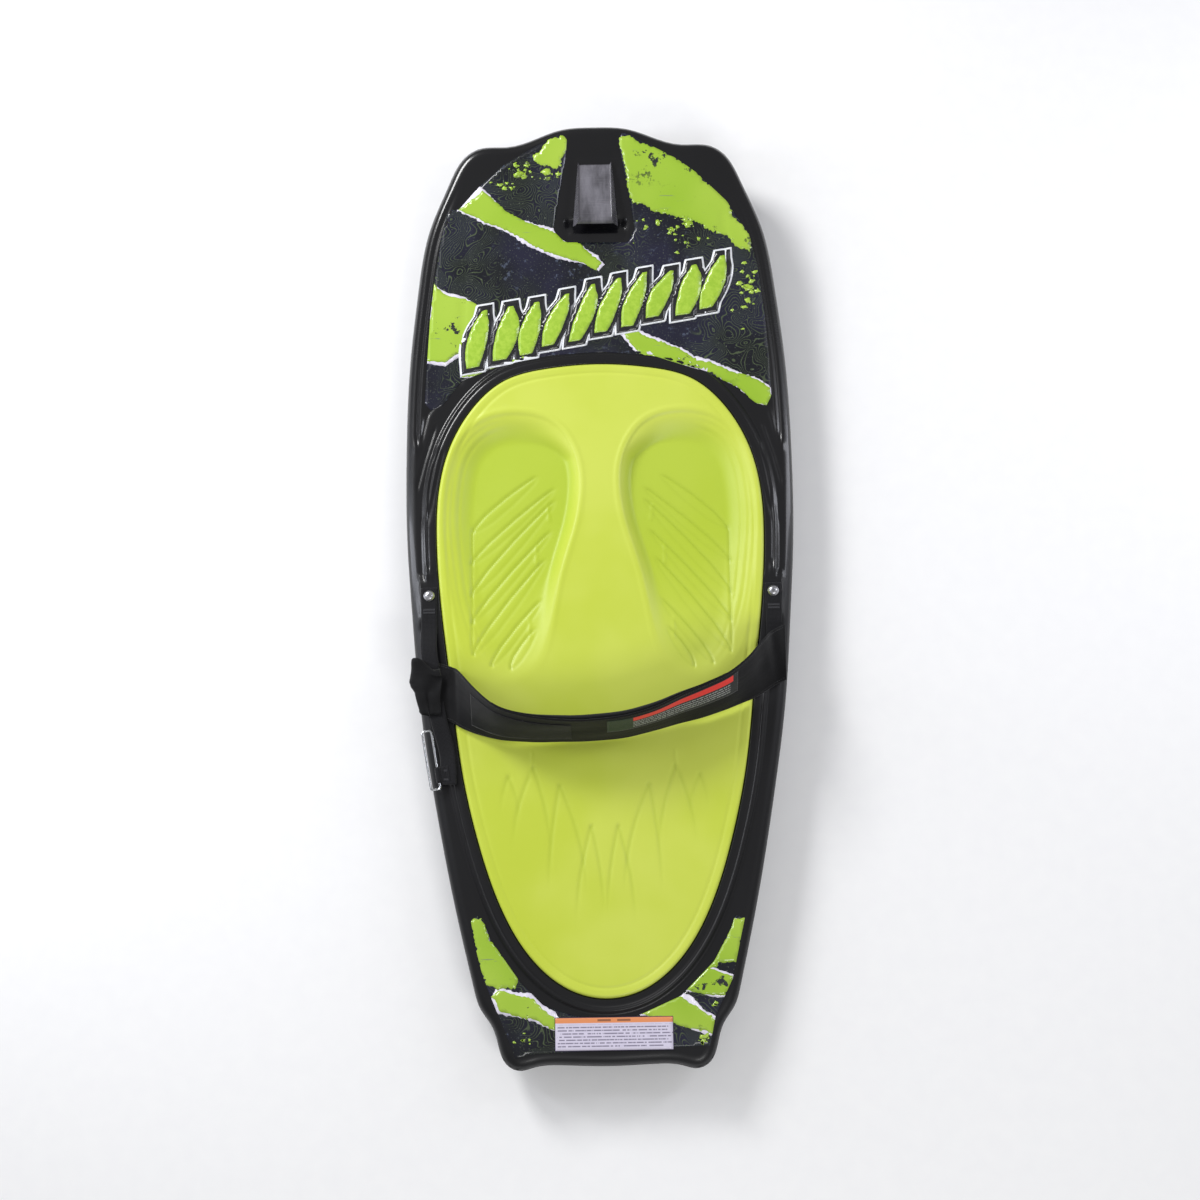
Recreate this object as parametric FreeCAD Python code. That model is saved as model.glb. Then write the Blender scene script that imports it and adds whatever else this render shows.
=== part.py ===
"""Kneeboard: foam-filled moulded hull, glued knee pad, padded knee strap with flap, webbing and wire ring.

Frame: +X to the board's right (seen from above, nose ahead), +Y to the nose, +Z up off the deck.
The origin is the middle of the footprint, on the surface that the base rests on. Millimetres.
"""
import FreeCAD, Part
import math
import os

V = FreeCAD.Vector
UP = V(0, 0, 1)
ALONG = V(0, 1, 0)
ACROSS = V(1, 0, 0)

# hull
length = 1300.0
width = 533.0
hull_thickness = 66.0        # base to deck, over the flat middle
nose_rocker = 62.0           # lift of the base at the nose
tail_rocker = 28.0           # lift of the base at the tail
nose_deck_rise = 40.0        # lift of the deck at the nose
nose_rocker_run = 500.0      # length of base that curves up to the nose
tail_rocker_run = 350.0
nose_deck_run = 450.0
rail_top_radius = 14.0
rail_base_radius = 12.0
wall = 5.0
overrun = 30.0               # profiles run on this far past the hull's ends
below = -50.0                # reach of the upright cutting prisms
above = 400.0

# half outline of the hull as (share of half width, share of half length), nose to tail
HULL_OUTLINE = (
    (0.000, 1.000), (0.180, 0.995), (0.340, 0.972), (0.460, 0.9605), (0.600, 0.9580),
    (0.672, 0.9430), (0.773, 0.8770), (0.875, 0.7780), (0.935, 0.6500), (0.979, 0.4940),
    (1.000, 0.2900), (0.9955, 0.1000), (0.970, -0.0600), (0.933, -0.2400), (0.860, -0.4420),
    (0.758, -0.6660), (0.664, -0.8350), (0.632, -0.8750), (0.574, -0.9110), (0.537, -0.9600),
    (0.507, -0.9860), (0.443, -1.0000), (0.370, -0.9940), (0.225, -0.9900), (0.000, -0.9930),
)

# knee pad and the raised rim round it
rail_margin = 43.0           # hull side to pad side
nose_margin = 340.0          # hull nose to pad front
tail_margin = 91.0           # hull tail to pad back
pad_above_deck = 8.0
recess_depth = 12.0
pad_gap = 0.5
pad_edge_radius = 4.0
coaming_width = 20.0
coaming_height = 5.0
coaming_edge = 2.5

# half outline of the pad as (share of its half width, share of its length back from the front)
PAD_OUTLINE = (
    (0.000, 0.000), (0.310, 0.006), (0.580, 0.025), (0.785, 0.072), (0.926, 0.138),
    (0.995, 0.225), (1.000, 0.285), (0.970, 0.400), (0.915, 0.520), (0.855, 0.645),
    (0.760, 0.757), (0.626, 0.860), (0.425, 0.945), (0.200, 0.989), (0.000, 1.000),
)
well_depth = 13.0
well_half_width = 84.0
well_half_length = 160.0
well_inset = 120.0           # well centre to the board's centre line
well_setback = 222.0         # well centre behind the pad's front

# tow hook at the nose
hook_setback = 100.0         # centre of the hook behind the nose tip
hook_length = 88.0
hook_front_width = 36.0
hook_back_width = 52.0
hook_height = 22.0
hook_lip = 10.0              # thickness of the lip that overhangs the trough
hook_undercut = 18.0         # how far the lip overhangs
hook_toe = 2.5               # height of the ramp's front end
trough_radius = 15.0
trough_depth = 6.0
trough_width = 90.0

# base
fin_height = 9.0
fin_length = 80.0
fin_width = 10.0
fin_spacing = 70.0
fin_from_tail = 70.0
channel_radius = 16.0
channel_depth = 4.0
channel_length = 380.0
channel_spacing = 130.0

# strap anchors on the rails
anchor_setback = 14.0        # anchors behind the board's middle
anchor_from_rail = 26.0
seat_length = 66.0
seat_width = 30.0
seat_corner = 8.0
insert_radius = 7.0
insert_length = 22.0
insert_run_out = 1.0         # bore left below the screw's tip
boss_radius = 13.0
screw_radius = 3.0
screw_length = 20.0
screw_clearance = 0.3
thread_clearance = 0.05
head_radius = 5.0
head_cone = 2.2
head_dome = 1.2
washer_radius = 7.5
washer_height = 2.2
washer_rim = 0.8
recess_slot = 1.1
recess_reach = 2.8
recess_deep = 1.9

# narrow webbing
webbing_width = 22.0
webbing_thickness = 2.2
anchor_fold_thickness = 3.0
anchor_tail = 12.0           # webbing noseward of the screw
anchor_corner = 2.0
flex_setback = 31.0          # screw to the line where the webbing flexes
flex_gap = 5.0               # fixed webbing stops this far short of the flex line
bar_length = 16.0
bar_width = 2.5
bar_height = 0.5
anchor_bar_pitch = 4.0
loop_bar_pitch = 12.0

# knee strap
band_width = 76.0
band_thickness = 2.5
padding_thickness = 7.0
tape_thickness = 0.8
label_thickness = 0.5
lay_gap = 0.3                # play between pieces that lie on each other
band_rest_gap = 4.0          # band's lower edge over the pad, where the padding fills in
band_end_gap = 2.0           # band's flat ends over the pad's level
full_settle = 45.0           # tilt by which the band has risen from one gap to the other

# band stations: (share of the anchors' half spacing, lower edge behind the anchors, tilt in degrees)
BAND_STATIONS = (
    (-1.065, 165.0, 0.0), (-1.000, 167.0, 0.0), (-0.925, 171.0, 0.0), (-0.855, 177.0, 1.0), (-0.790, 186.0, 26.0),
    (-0.630, 197.0, 60.0), (-0.380, 203.0, 72.0), (-0.080, 202.0, 77.0), (0.210, 194.0, 75.0), (0.470, 179.0, 68.0),
    (0.700, 164.0, 58.0), (0.870, 148.0, 40.0), (0.975, 134.0, 12.0), (1.060, 124.0, 3.0),
)
STEPS_PER_STATION = 3
PADDING_SPAN = (15, 30)      # band steps that each piece on the band covers
LABEL_SPAN = (22, 31)
TAPE_SPAN = (13, 20)
PADDING_SHARE = (0.02, 0.98)  # share of the band's width that each piece covers
LABEL_SHARE = (0.42, 0.90)
TAPE_SHARE = (0.17, 0.83)

# flap, hook tape and wire ring
flap_length = 34.0
flap_wall = 2.5
flap_gap = 0.8
hook_tape_inset = 3.0
ring_length = 83.0
ring_width = 16.0
ring_wire = 1.5
ring_bend = 3.2
ring_angle = 9.0
ring_setback = 226.0         # ring centre behind the anchors
ring_clearance = 0.3
loop_setback = 246.0         # webbing loop behind the anchors
webbing_drift = 12.0         # how far the left webbing wanders inboard by the loop
webbing_climb = 40.0         # flex line to where the left webbing is level over the band
webbing_cross = 175.0        # anchors to where the left webbing leaves the band
webbing_settle = 24.0        # run over which it comes down to the loop
webbing_end = 2.0            # webbing past its last sewn place

film_thickness = 0.4
film_margin = 22.0           # printed films stop this far inside the hull's outline
film_gap = 1.0               # play between film and coaming
hook_clear = 14.0            # bare deck behind the hook
tail_film_reach = 130.0      # tail film ahead of the pad's back
label_length = 156.0
label_height = 44.0
label_from_tail = 23.0

# half outline of the nose film as (share of the pad's half width, share of the way from its back to its top)
NOSE_FILM = ((0.20, 1.00), (0.57, 0.91), (0.84, 0.745), (0.95, 0.60), (1.02, 0.30), (1.055, 0.00))

plug_radius = 12.0
plug_length = 16.0
plug_setback = 620.0         # plug behind the pad's front

# worked out from the values above
half_length = length / 2
half_width = width / 2
pad_front = half_length - nose_margin
pad_back = -half_length + tail_margin
pad_half = half_width - rail_margin
deck = hull_thickness
pad_top = deck + pad_above_deck
anchor_y = -anchor_setback
seat_z = deck + coaming_height
webbing_z = seat_z + anchor_fold_thickness / 2
flex_y = anchor_y - flex_setback
hook_y = half_length - hook_setback


def save(shape, name):
    shape.exportStep(os.path.join("parts", name + ".step"))


def half_width_at(y):
    """Hull half width at y, read along the straight runs between outline points."""
    share = y / half_length
    for (w0, s0), (w1, s1) in zip(HULL_OUTLINE[4:-4], HULL_OUTLINE[5:-3]):
        if s0 >= share >= s1:
            return half_width * (w0 + (w1 - w0) * (s0 - share) / (s0 - s1))
    return half_width


anchor_x = half_width_at(anchor_y) - anchor_from_rail


def mirrored(half_points):
    """Closed run of points from one half, both halves' ends lying on the centre line."""
    right = [V(x, y, 0) for x, y in half_points]
    left = [V(-p.x, p.y, 0) for p in reversed(right[1:-1])]
    return right + left


def grown(points, distance):
    """Points of a closed clockwise run moved outward by a distance."""
    moved = []
    count = len(points)
    for i, point in enumerate(points):
        before = points[i - 1]
        after = points[(i + 1) % count]
        chord = after - before
        outward = V(-chord.y, chord.x, 0).normalize()
        moved.append(point + outward * distance)
    return moved


def prism(points, low, high):
    """Upright solid inside a smooth closed curve through points."""
    curve = Part.BSplineCurve()
    curve.interpolate(Points=points, PeriodicFlag=True)
    face = Part.Face(Part.Wire([curve.toShape()]))
    face.translate(UP * low)
    return face.extrude(UP * (high - low))


def hull_prism(grow, low=below, high=above):
    points = mirrored([(w * half_width, s * half_length) for w, s in HULL_OUTLINE])
    return prism(grown(points, grow), low, high)


def pad_prism(grow, low=below, high=above):
    span = pad_front - pad_back
    points = mirrored([(w * pad_half, pad_front - s * span) for w, s in PAD_OUTLINE])
    return prism(grown(points, grow), low, high)


def arc_radius(run, rise):
    return (run * run + rise * rise) / (2 * rise)


def deck_height(y):
    """Height of the deck at y."""
    start = half_length - nose_deck_run
    if y <= start:
        return deck
    radius = arc_radius(nose_deck_run, nose_deck_rise)
    return deck + radius - math.sqrt(radius * radius - (y - start) ** 2)


def base_height(y):
    """Height of the base at y."""
    front = half_length - nose_rocker_run
    back = -half_length + tail_rocker_run
    if y > front:
        radius = arc_radius(nose_rocker_run, nose_rocker)
        return radius - math.sqrt(radius * radius - (y - front) ** 2)
    if y < back:
        radius = arc_radius(tail_rocker_run, tail_rocker)
        return radius - math.sqrt(radius * radius - (y - back) ** 2)
    return 0.0


def curved_run(start, centre_z, radius, sign):
    """Arc in the YZ plane, tangent to level at start, rising towards sign * Y until past the hull's end."""
    reach = half_length + overrun - abs(start)
    swing = math.asin(reach / radius)
    points = []
    for share in (0.0, 0.5, 1.0):
        angle = swing * share
        points.append(V(0, start + sign * radius * math.sin(angle), centre_z - radius * math.cos(angle)))
    return Part.Arc(*points).toShape(), points[-1]


def deck_edges(offset):
    """Deck profile at an offset above the deck, tail to nose, and its two ends."""
    start = half_length - nose_deck_run
    radius = arc_radius(nose_deck_run, nose_deck_rise)
    tail = V(0, -half_length - overrun, deck + offset)
    arc, nose = curved_run(start, deck + radius, radius - offset, 1)
    line = Part.LineSegment(tail, V(0, start, deck + offset)).toShape()
    return [line, arc], tail, nose


def base_edges(offset):
    """Base profile at an offset above the base, tail to nose, and its two ends."""
    front = half_length - nose_rocker_run
    back = -half_length + tail_rocker_run
    nose_radius = arc_radius(nose_rocker_run, nose_rocker)
    tail_radius = arc_radius(tail_rocker_run, tail_rocker)
    nose_arc, nose = curved_run(front, nose_radius, nose_radius - offset, 1)
    tail_arc, tail = curved_run(back, tail_radius, tail_radius - offset, -1)
    line = Part.LineSegment(V(0, back, offset), V(0, front, offset)).toShape()
    return [tail_arc, line, nose_arc], tail, nose


def swept_between(lower, upper):
    """Solid between two YZ profiles, right across the board."""
    low_edges, low_tail, low_nose = lower
    high_edges, high_tail, high_nose = upper
    closing = [
        Part.LineSegment(low_nose, high_nose).toShape(),
        Part.LineSegment(high_tail, low_tail).toShape(),
    ]
    wire = Part.Wire(Part.__sortEdges__(low_edges + high_edges + closing))
    face = Part.Face(wire)
    face.translate(ACROSS * -width)
    return face.extrude(ACROSS * (2 * width))


def deck_layer(low, high):
    return swept_between(deck_edges(low), deck_edges(high))


def box(x0, x1, y0, y1, z0, z1):
    return Part.makeBox(x1 - x0, y1 - y0, z1 - z0, V(x0, y0, z0))


def rims(shape):
    """Rim edges of the largest upright curved side: those on the deck and those on the base."""
    upright = [f for f in shape.Faces if f.Surface.TypeId == "Part::GeomSurfaceOfExtrusion"]
    side = max(upright, key=lambda f: f.Area)
    top = []
    low = []
    for edge in side.Edges:
        span = edge.BoundBox
        if min(span.XLength, span.YLength) < wall:
            continue
        middle = edge.valueAt((edge.FirstParameter + edge.LastParameter) / 2)
        if middle.z - side.CenterOfMass.z > deck_height(middle.y) - deck_height(side.CenterOfMass.y):
            top.append(edge)
        else:
            low.append(edge)
    return top, low


def hull_block(inset):
    """The hull's outer form before its rims are rounded, moved in from its skin by an inset."""
    return hull_prism(-inset).common(swept_between(base_edges(inset), deck_edges(-inset)))


def placed(shape, x, y, z=0.0):
    shape.translate(V(x, y, z))
    return shape


def disc(radius, low, high, x=0.0, y=0.0):
    return Part.makeCylinder(radius, high - low, V(x, y, low), UP)


def plate(corners, low, high):
    """Upright solid over a run of XY corners."""
    ring = [V(x, y, low) for x, y in corners]
    return Part.Face(Part.makePolygon(ring + ring[:1])).extrude(UP * (high - low))


def side_profile(points, half_span):
    """Solid with a YZ outline, reaching half_span each side of the centre line."""
    ring = [V(-half_span, y, z) for y, z in points]
    return Part.Face(Part.makePolygon(ring + ring[:1])).extrude(ACROSS * (2 * half_span))


# ---- hull

def hook_block():
    """Raised tow hook: ramp from the nose, level top, and a lip over the trough on its rider's side."""
    front = hook_y + hook_length / 2
    back = hook_y - hook_length / 2
    root = back + hook_undercut
    top = deck_height(back) + hook_height
    points = [
        (front, deck_height(front) - wall / 2), (front, deck_height(front) + hook_toe),
        (front - hook_length / 4, top - hook_height / 8), (back + hook_lip / 2, top),
        (back, top - hook_lip / 2), (back, top - hook_lip),
        (root, top - hook_lip), (root, deck_height(root) - trough_depth / 2),
    ]
    corners = (
        (-hook_front_width / 2, front), (hook_front_width / 2, front),
        (hook_back_width / 2, back), (-hook_back_width / 2, back),
    )
    return side_profile(points, hook_back_width).common(plate(corners, 0.0, 2 * top))


def trough(grow):
    """Rounded hollow across the deck under the hook's lip."""
    back = hook_y - hook_length / 2 + hook_undercut / 4
    centre = V(-trough_width / 2 - grow, back, deck_height(back) + trough_radius - trough_depth)
    return Part.makeCylinder(trough_radius + grow, trough_width + 2 * grow, centre, ACROSS)


def coaming():
    """Raised rim round the knee pad, still without its recess."""
    ring = pad_prism(coaming_width).common(deck_layer(-wall / 2, coaming_height))
    return ring.makeFillet(coaming_edge, rims(ring)[0])


def anchor_seats():
    """Flat seats on the rails, under the webbing ends."""
    seats = []
    for side in (-1, 1):
        low = deck - wall / 2
        seat = box(-seat_width / 2, seat_width / 2, -seat_length / 2, seat_length / 2, low, seat_z)
        seat = seat.makeFillet(seat_corner, [e for e in seat.Edges if e.BoundBox.ZLength > wall / 2])
        seats.append(placed(seat, side * anchor_x, anchor_y - seat_corner).cut(pad_prism(pad_gap)))
    return seats


def fins():
    """Small moulded fins on the base near the tail."""
    blades = []
    back = -half_length + fin_from_tail
    tip = base_height(back + fin_length / 2) - fin_height
    points = [
        (back, base_height(back) + wall / 2), (back + fin_width, tip),
        (back + fin_length / 2, tip), (back + fin_length, base_height(back + fin_length) + wall / 2),
    ]
    for place in (-1.5, -0.5, 0.5, 1.5):
        blades.append(placed(side_profile(points, fin_width / 2), place * fin_spacing, 0.0))
    return blades


def channels(grow):
    """Shallow round-ended grooves along the flat of the base."""
    cuts = []
    front = half_length - nose_rocker_run
    centre_z = channel_depth - channel_radius
    for place in (-1.0, 0.0, 1.0):
        x = place * channel_spacing
        start = V(x, front - channel_length, centre_z)
        cuts.append(Part.makeCylinder(channel_radius + grow, channel_length, start, ALONG))
        cuts.append(Part.makeSphere(channel_radius + grow, start))
        cuts.append(Part.makeSphere(channel_radius + grow, V(x, front, centre_z)))
    return cuts


def insert_pocket(side, radius, depth):
    return disc(radius, seat_z - depth, seat_z, side * anchor_x, anchor_y)


def foam_core():
    """Foam that fills the shell, with hollows for the recess, trough, bosses, channels and fill plug."""
    core = hull_block(wall)
    cuts = [pad_prism(wall + pad_gap, deck - recess_depth - wall, 2 * deck), trough(wall)]
    cuts += channels(wall)
    for side in (-1, 1):
        cuts.append(insert_pocket(side, boss_radius, insert_length + wall + coaming_height))
    plug_y = pad_front - plug_setback
    floor = deck - recess_depth
    cuts.append(disc(plug_radius / 2, floor - plug_length, floor, 0.0, plug_y))
    return core.cut(cuts)


def foam_fill_plug():
    """Stepped plug in the recess floor, over the hole that the foam was poured through."""
    plug_y = pad_front - plug_setback
    floor = deck - recess_depth
    cap = disc(plug_radius, floor - wall, floor, 0.0, plug_y)
    stem = disc(plug_radius / 2, floor - plug_length, floor - wall, 0.0, plug_y)
    return cap.fuse(stem).removeSplitter()


def hull_shell(core):
    """Moulded skin round the core, one wall thick, with everything that is moulded into it."""
    recess = pad_prism(pad_gap).common(deck_layer(-recess_depth, 2 * deck))
    outer = hull_block(0.0).fuse([coaming(), hook_block()] + fins())
    outer = outer.cut([recess, trough(0.0)] + channels(0.0)).Solids[0]
    outer = outer.makeFillet(rail_top_radius, rims(outer)[0])
    outer = outer.makeFillet(rail_base_radius, rims(outer)[1])
    outer = outer.fuse(anchor_seats())
    outer = outer.cut([insert_pocket(side, insert_radius, insert_length) for side in (-1, 1)])
    void = core.Solids[0].OuterShell.reversed()
    skin = Part.Solid(Part.Compound([outer.Solids[0].OuterShell, void]))
    return skin.cut(foam_fill_plug())


def threaded_insert(side):
    """Brass insert moulded into the rail; its thread is left plain."""
    body = insert_pocket(side, insert_radius, insert_length)
    bore = insert_pocket(side, screw_radius + thread_clearance, screw_length + insert_run_out)
    return body.cut(bore)


# ---- knee pad and printed films

def knee_pad():
    """Moulded pad with a hollow for each knee and shin."""
    pad = pad_prism(0.0).common(deck_layer(-recess_depth, pad_above_deck))
    pad = pad.makeFillet(pad_edge_radius, rims(pad)[0])
    ball = Part.makeSphere(1.0)
    for side in (-1, 1):
        stretch = FreeCAD.Matrix()
        stretch.scale(well_half_width, well_half_length, well_depth)
        well = ball.transformGeometry(stretch)
        pad = pad.cut(placed(well, side * well_inset, pad_front - well_setback, pad_top))
    return pad


def smooth_edge(points):
    curve = Part.BSplineCurve()
    curve.interpolate(points)
    return curve.toShape()


def nose_graphic():
    """Film over the nose deck, notched round the tow hook, its back edge along the coaming."""
    top = half_length - film_margin
    back = pad_front - 2 * film_margin
    right = [V(x * pad_half, back + (top - back) * y, 0) for x, y in NOSE_FILM]
    left = [V(-p.x, p.y, 0) for p in right]
    notch_back = hook_y - hook_length / 2 - hook_clear
    notch = [V(x, y, 0) for x, y in (
        (hook_front_width, hook_y), (hook_back_width, notch_back),
        (-hook_back_width, notch_back), (-hook_front_width, hook_y),
    )]
    straight = [right[0]] + notch + [left[0]]
    edges = [Part.LineSegment(a, b).toShape() for a, b in zip(straight, straight[1:])]
    edges += [smooth_edge(left), Part.LineSegment(left[-1], right[-1]).toShape(), smooth_edge(right[::-1])]
    face = Part.Face(Part.Wire(edges))
    film = face.extrude(UP * above).common(deck_layer(0.0, film_thickness))
    return film.cut(pad_prism(coaming_width + film_gap))


def label_area():
    low = -half_length + label_from_tail
    return box(-label_length / 2, label_length / 2, low, low + label_height, 0.0, 2 * deck)


def tail_graphic():
    """Crescent film between the coaming and the tail, notched for the label."""
    low = -half_length + label_from_tail
    keep = box(-half_width, half_width, low, pad_back + tail_film_reach, 0.0, 2 * deck)
    film = hull_prism(-film_margin, 0.0, 2 * deck).common(keep).common(deck_layer(0.0, film_thickness))
    return film.cut(pad_prism(coaming_width + film_gap)).cut(label_area())


def warning_label():
    return label_area().common(deck_layer(0.0, film_thickness))


# ---- anchors

def strap_screw(side):
    """Oval-head machine screw with a cross recess."""
    under = seat_z + anchor_fold_thickness
    low = under + lay_gap
    shank = disc(screw_radius, under - screw_length, low)
    cone = Part.makeCone(screw_radius, head_radius, head_cone, V(0, 0, low), UP)
    dome_radius = arc_radius(head_radius, head_dome)
    top = low + head_cone
    dome = Part.makeSphere(dome_radius, V(0, 0, top + head_dome - dome_radius))
    dome = dome.common(disc(head_radius, top, top + 2 * head_dome))
    screw = shank.fuse([cone, dome]).removeSplitter()
    crown = top + head_dome
    for half_x, half_y in ((recess_reach, recess_slot / 2), (recess_slot / 2, recess_reach)):
        screw = screw.cut(box(-half_x, half_x, -half_y, half_y, crown - recess_deep, crown + head_dome))
    return placed(screw, side * anchor_x, anchor_y)


def cup_washer(side):
    """Dished finishing washer that the screw head sits in."""
    under = seat_z + anchor_fold_thickness
    blank = Part.makeCone(washer_radius, head_radius + washer_rim, washer_height, V(0, 0, under), UP)
    seat = Part.makeCone(screw_radius, head_radius, head_cone, V(0, 0, under + lay_gap), UP)
    bore = disc(screw_radius + screw_clearance, under, under + 2 * lay_gap)
    return placed(blank.cut([seat, bore]), side * anchor_x, anchor_y)


def anchor_webbing(side):
    """Two sewn layers of webbing under the washer, stopping short of the flex line."""
    half = webbing_width / 2
    strip = box(-half, half, flex_y + flex_gap, anchor_y + anchor_tail, seat_z, seat_z + anchor_fold_thickness)
    corners = [e for e in strip.Edges if e.BoundBox.ZLength > anchor_corner and e.BoundBox.YMin > anchor_y]
    strip = strip.makeFillet(anchor_corner, corners)
    strip = placed(strip, side * anchor_x, 0.0)
    return strip.cut(disc(screw_radius + screw_clearance, deck, webbing_z + wall, side * anchor_x, anchor_y))


def bar(x, y, z):
    half = bar_length / 2
    return box(x - half, x + half, y - bar_width / 2, y + bar_width / 2, z, z + bar_height)


def anchor_bartacks():
    """Sewn bars across both anchor folds, behind the washers."""
    y = flex_y + flex_gap + bar_width
    z = seat_z + anchor_fold_thickness
    return Part.makeCompound([bar(side * anchor_x, y + step, z) for side in (-1, 1) for step in (0.0, anchor_bar_pitch)])


# ---- knee strap

def ribbon(points, thickness, ribbon_width):
    """Flat strip through points, level across, as one ruled solid."""
    sections = []
    for i, point in enumerate(points):
        ahead = points[min(i + 1, len(points) - 1)] - points[max(i - 1, 0)]
        ahead.normalize()
        across = UP.cross(ahead).normalize() * (ribbon_width / 2)
        normal = ahead.cross(across).normalize() * (thickness / 2)
        corners = [point - across - normal, point + across - normal, point + across + normal, point - across + normal]
        sections.append(Part.makePolygon(corners + corners[:1]))
    return Part.makeLoft(sections, True, True)


# heights in the stack at the strap's ends
end_band_z = pad_top + band_end_gap
over_band_z = end_band_z + band_thickness + 4 * lay_gap + webbing_thickness / 2
flap_z = over_band_z + webbing_thickness / 2 + tape_thickness + 2 * lay_gap


def flex_end(side):
    """Rounded webbing end that turns in the flex line."""
    radius = webbing_thickness / 2
    start = V(side * anchor_x - webbing_width / 2, flex_y, webbing_z)
    return Part.makeCylinder(radius, webbing_width, start, ACROSS)


def loop_place():
    """Where the left webbing's loop holds the ring's long side."""
    return -anchor_x + webbing_drift, anchor_y - loop_setback


def ring_frame(shape):
    """Turns a ring made about the origin, long side along Y, to its place on the rail."""
    shape.rotate(V(0, 0, 0), UP, ring_angle)
    x, y = loop_place()
    turn = math.radians(ring_angle)
    shift = loop_setback - ring_setback
    x -= (ring_width / 2 - ring_wire) * math.cos(turn) + shift * math.sin(turn)
    return placed(shape, x, anchor_y - ring_setback, ring_z())


def sleeve_radius():
    """Outer radius of the webbing sewn round the ring."""
    return ring_wire + ring_clearance + webbing_thickness


def ring_z():
    return seat_z + lay_gap + sleeve_radius()


def ring_line():
    """Direction of the ring's long sides."""
    turn = math.radians(ring_angle)
    return V(-math.sin(turn), math.cos(turn), 0)


def side_webbing_left():
    """Webbing that passes between band and flap and ends in the sewn loop that holds the ring."""
    x, y = loop_place()
    half = webbing_width / 2
    end_x = x + half + sleeve_radius() - webbing_thickness
    path = [
        V(-anchor_x, flex_y, webbing_z), V(-anchor_x, flex_y - 2 * flex_gap, webbing_z),
        V(-anchor_x, flex_y - webbing_climb, over_band_z),
        V(end_x - webbing_drift, anchor_y - webbing_cross, over_band_z),
        V(end_x, y + half + webbing_settle, ring_z()), V(end_x, y - half - webbing_end, ring_z()),
    ]
    strip = ribbon(path, webbing_thickness, webbing_width)
    along = ring_line()
    start = V(x, y, ring_z())
    tube = Part.makeCylinder(sleeve_radius(), webbing_width, start - along * half, along)
    bore = Part.makeCylinder(ring_wire + ring_clearance, 4 * webbing_width, start - along * 4 * half, along)
    return strip.fuse([tube, flex_end(-1)]).cut(bore).removeSplitter()


def side_webbing_right():
    """Webbing that runs on under the band's right end, to which it is sewn."""
    path = [V(anchor_x, flex_y, webbing_z), V(anchor_x, anchor_y - BAND_STATIONS[-1][1] + webbing_end, webbing_z)]
    return ribbon(path, webbing_thickness, webbing_width).fuse(flex_end(1)).removeSplitter()


def band_sections():
    """Places along the band: lower edge point, direction across, outward normal."""
    lower = []
    upper = []
    for share, back, degrees in BAND_STATIONS:
        settle = min(1.0, degrees / full_settle)
        point = V(share * anchor_x, anchor_y - back, end_band_z + settle * (band_rest_gap - lay_gap))
        lean = math.radians(degrees)
        lower.append(point)
        upper.append(point + V(0, math.cos(lean), math.sin(lean)) * band_width)
    knots = [float(i) for i in range(len(BAND_STATIONS))]
    low_curve = Part.BSplineCurve()
    high_curve = Part.BSplineCurve()
    low_curve.interpolate(Points=lower, Parameters=knots)
    high_curve.interpolate(Points=upper, Parameters=knots)
    places = []
    for i in range((len(knots) - 1) * STEPS_PER_STATION + 1):
        at = i / STEPS_PER_STATION
        point = low_curve.value(at)
        across = (high_curve.value(at) - point).normalize()
        normal = low_curve.tangent(at)[0].cross(across).normalize()
        places.append((point, across, normal))
    return places


def on_band(span, shares, inner, outer):
    """Solid that follows the band: a share of its width, between two distances from its inner face."""
    sections = []
    for point, across, normal in band_sections()[span[0]:span[1] + 1]:
        a = point + across * (band_width * shares[0])
        b = point + across * (band_width * shares[1])
        corners = [a + normal * inner, b + normal * inner, b + normal * outer, a + normal * outer]
        sections.append(Part.makePolygon(corners + corners[:1]))
    return Part.makeLoft(sections, True, True)


def strap_band():
    steps = (len(BAND_STATIONS) - 1) * STEPS_PER_STATION
    return on_band((0, steps), (0.0, 1.0), 0.0, band_thickness)


def strap_padding():
    return on_band(PADDING_SPAN, PADDING_SHARE, -padding_thickness, 0.0)


def strap_label():
    return on_band(LABEL_SPAN, LABEL_SHARE, band_thickness, band_thickness + label_thickness)


def loop_tape():
    return on_band(TAPE_SPAN, TAPE_SHARE, band_thickness, band_thickness + tape_thickness)


def webbing_bartacks():
    """Sewn bars that close the loop round the ring, on the level end of the left webbing."""
    x, y = loop_place()
    end_x = x + webbing_width / 2 + sleeve_radius() - webbing_thickness
    z = ring_z() + webbing_thickness / 2
    return Part.makeCompound([bar(end_x + bar_width, y + side * loop_bar_pitch / 2, z) for side in (-1, 1)])


# ---- flap and ring

def fold_x():
    """Line that the flap turns about, just outside the band's left end."""
    return BAND_STATIONS[0][0] * anchor_x - flap_gap - band_thickness / 2


def flap_band():
    """Folded-back end of the band over the left webbing."""
    low = anchor_y - BAND_STATIONS[0][1]
    high = low + band_width
    x = fold_x()
    half = band_thickness / 2
    turn_z = end_band_z + half
    barrel = Part.makeCylinder(half, band_width, V(x, low, turn_z), ALONG)
    upright = box(x - half, x + half, low, high, turn_z, flap_z + band_thickness)
    leaf = box(x - half, x + flap_length, low, high, flap_z, flap_z + band_thickness)
    return barrel.fuse([upright, leaf]).removeSplitter()


def hook_tape():
    """Hook tape under the flap."""
    low = anchor_y - BAND_STATIONS[0][1]
    x = fold_x() + band_thickness / 2 + hook_tape_inset
    end = fold_x() + flap_length - hook_tape_inset
    return box(x, end, low + hook_tape_inset, low + band_width - hook_tape_inset, flap_z - tape_thickness, flap_z)


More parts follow.
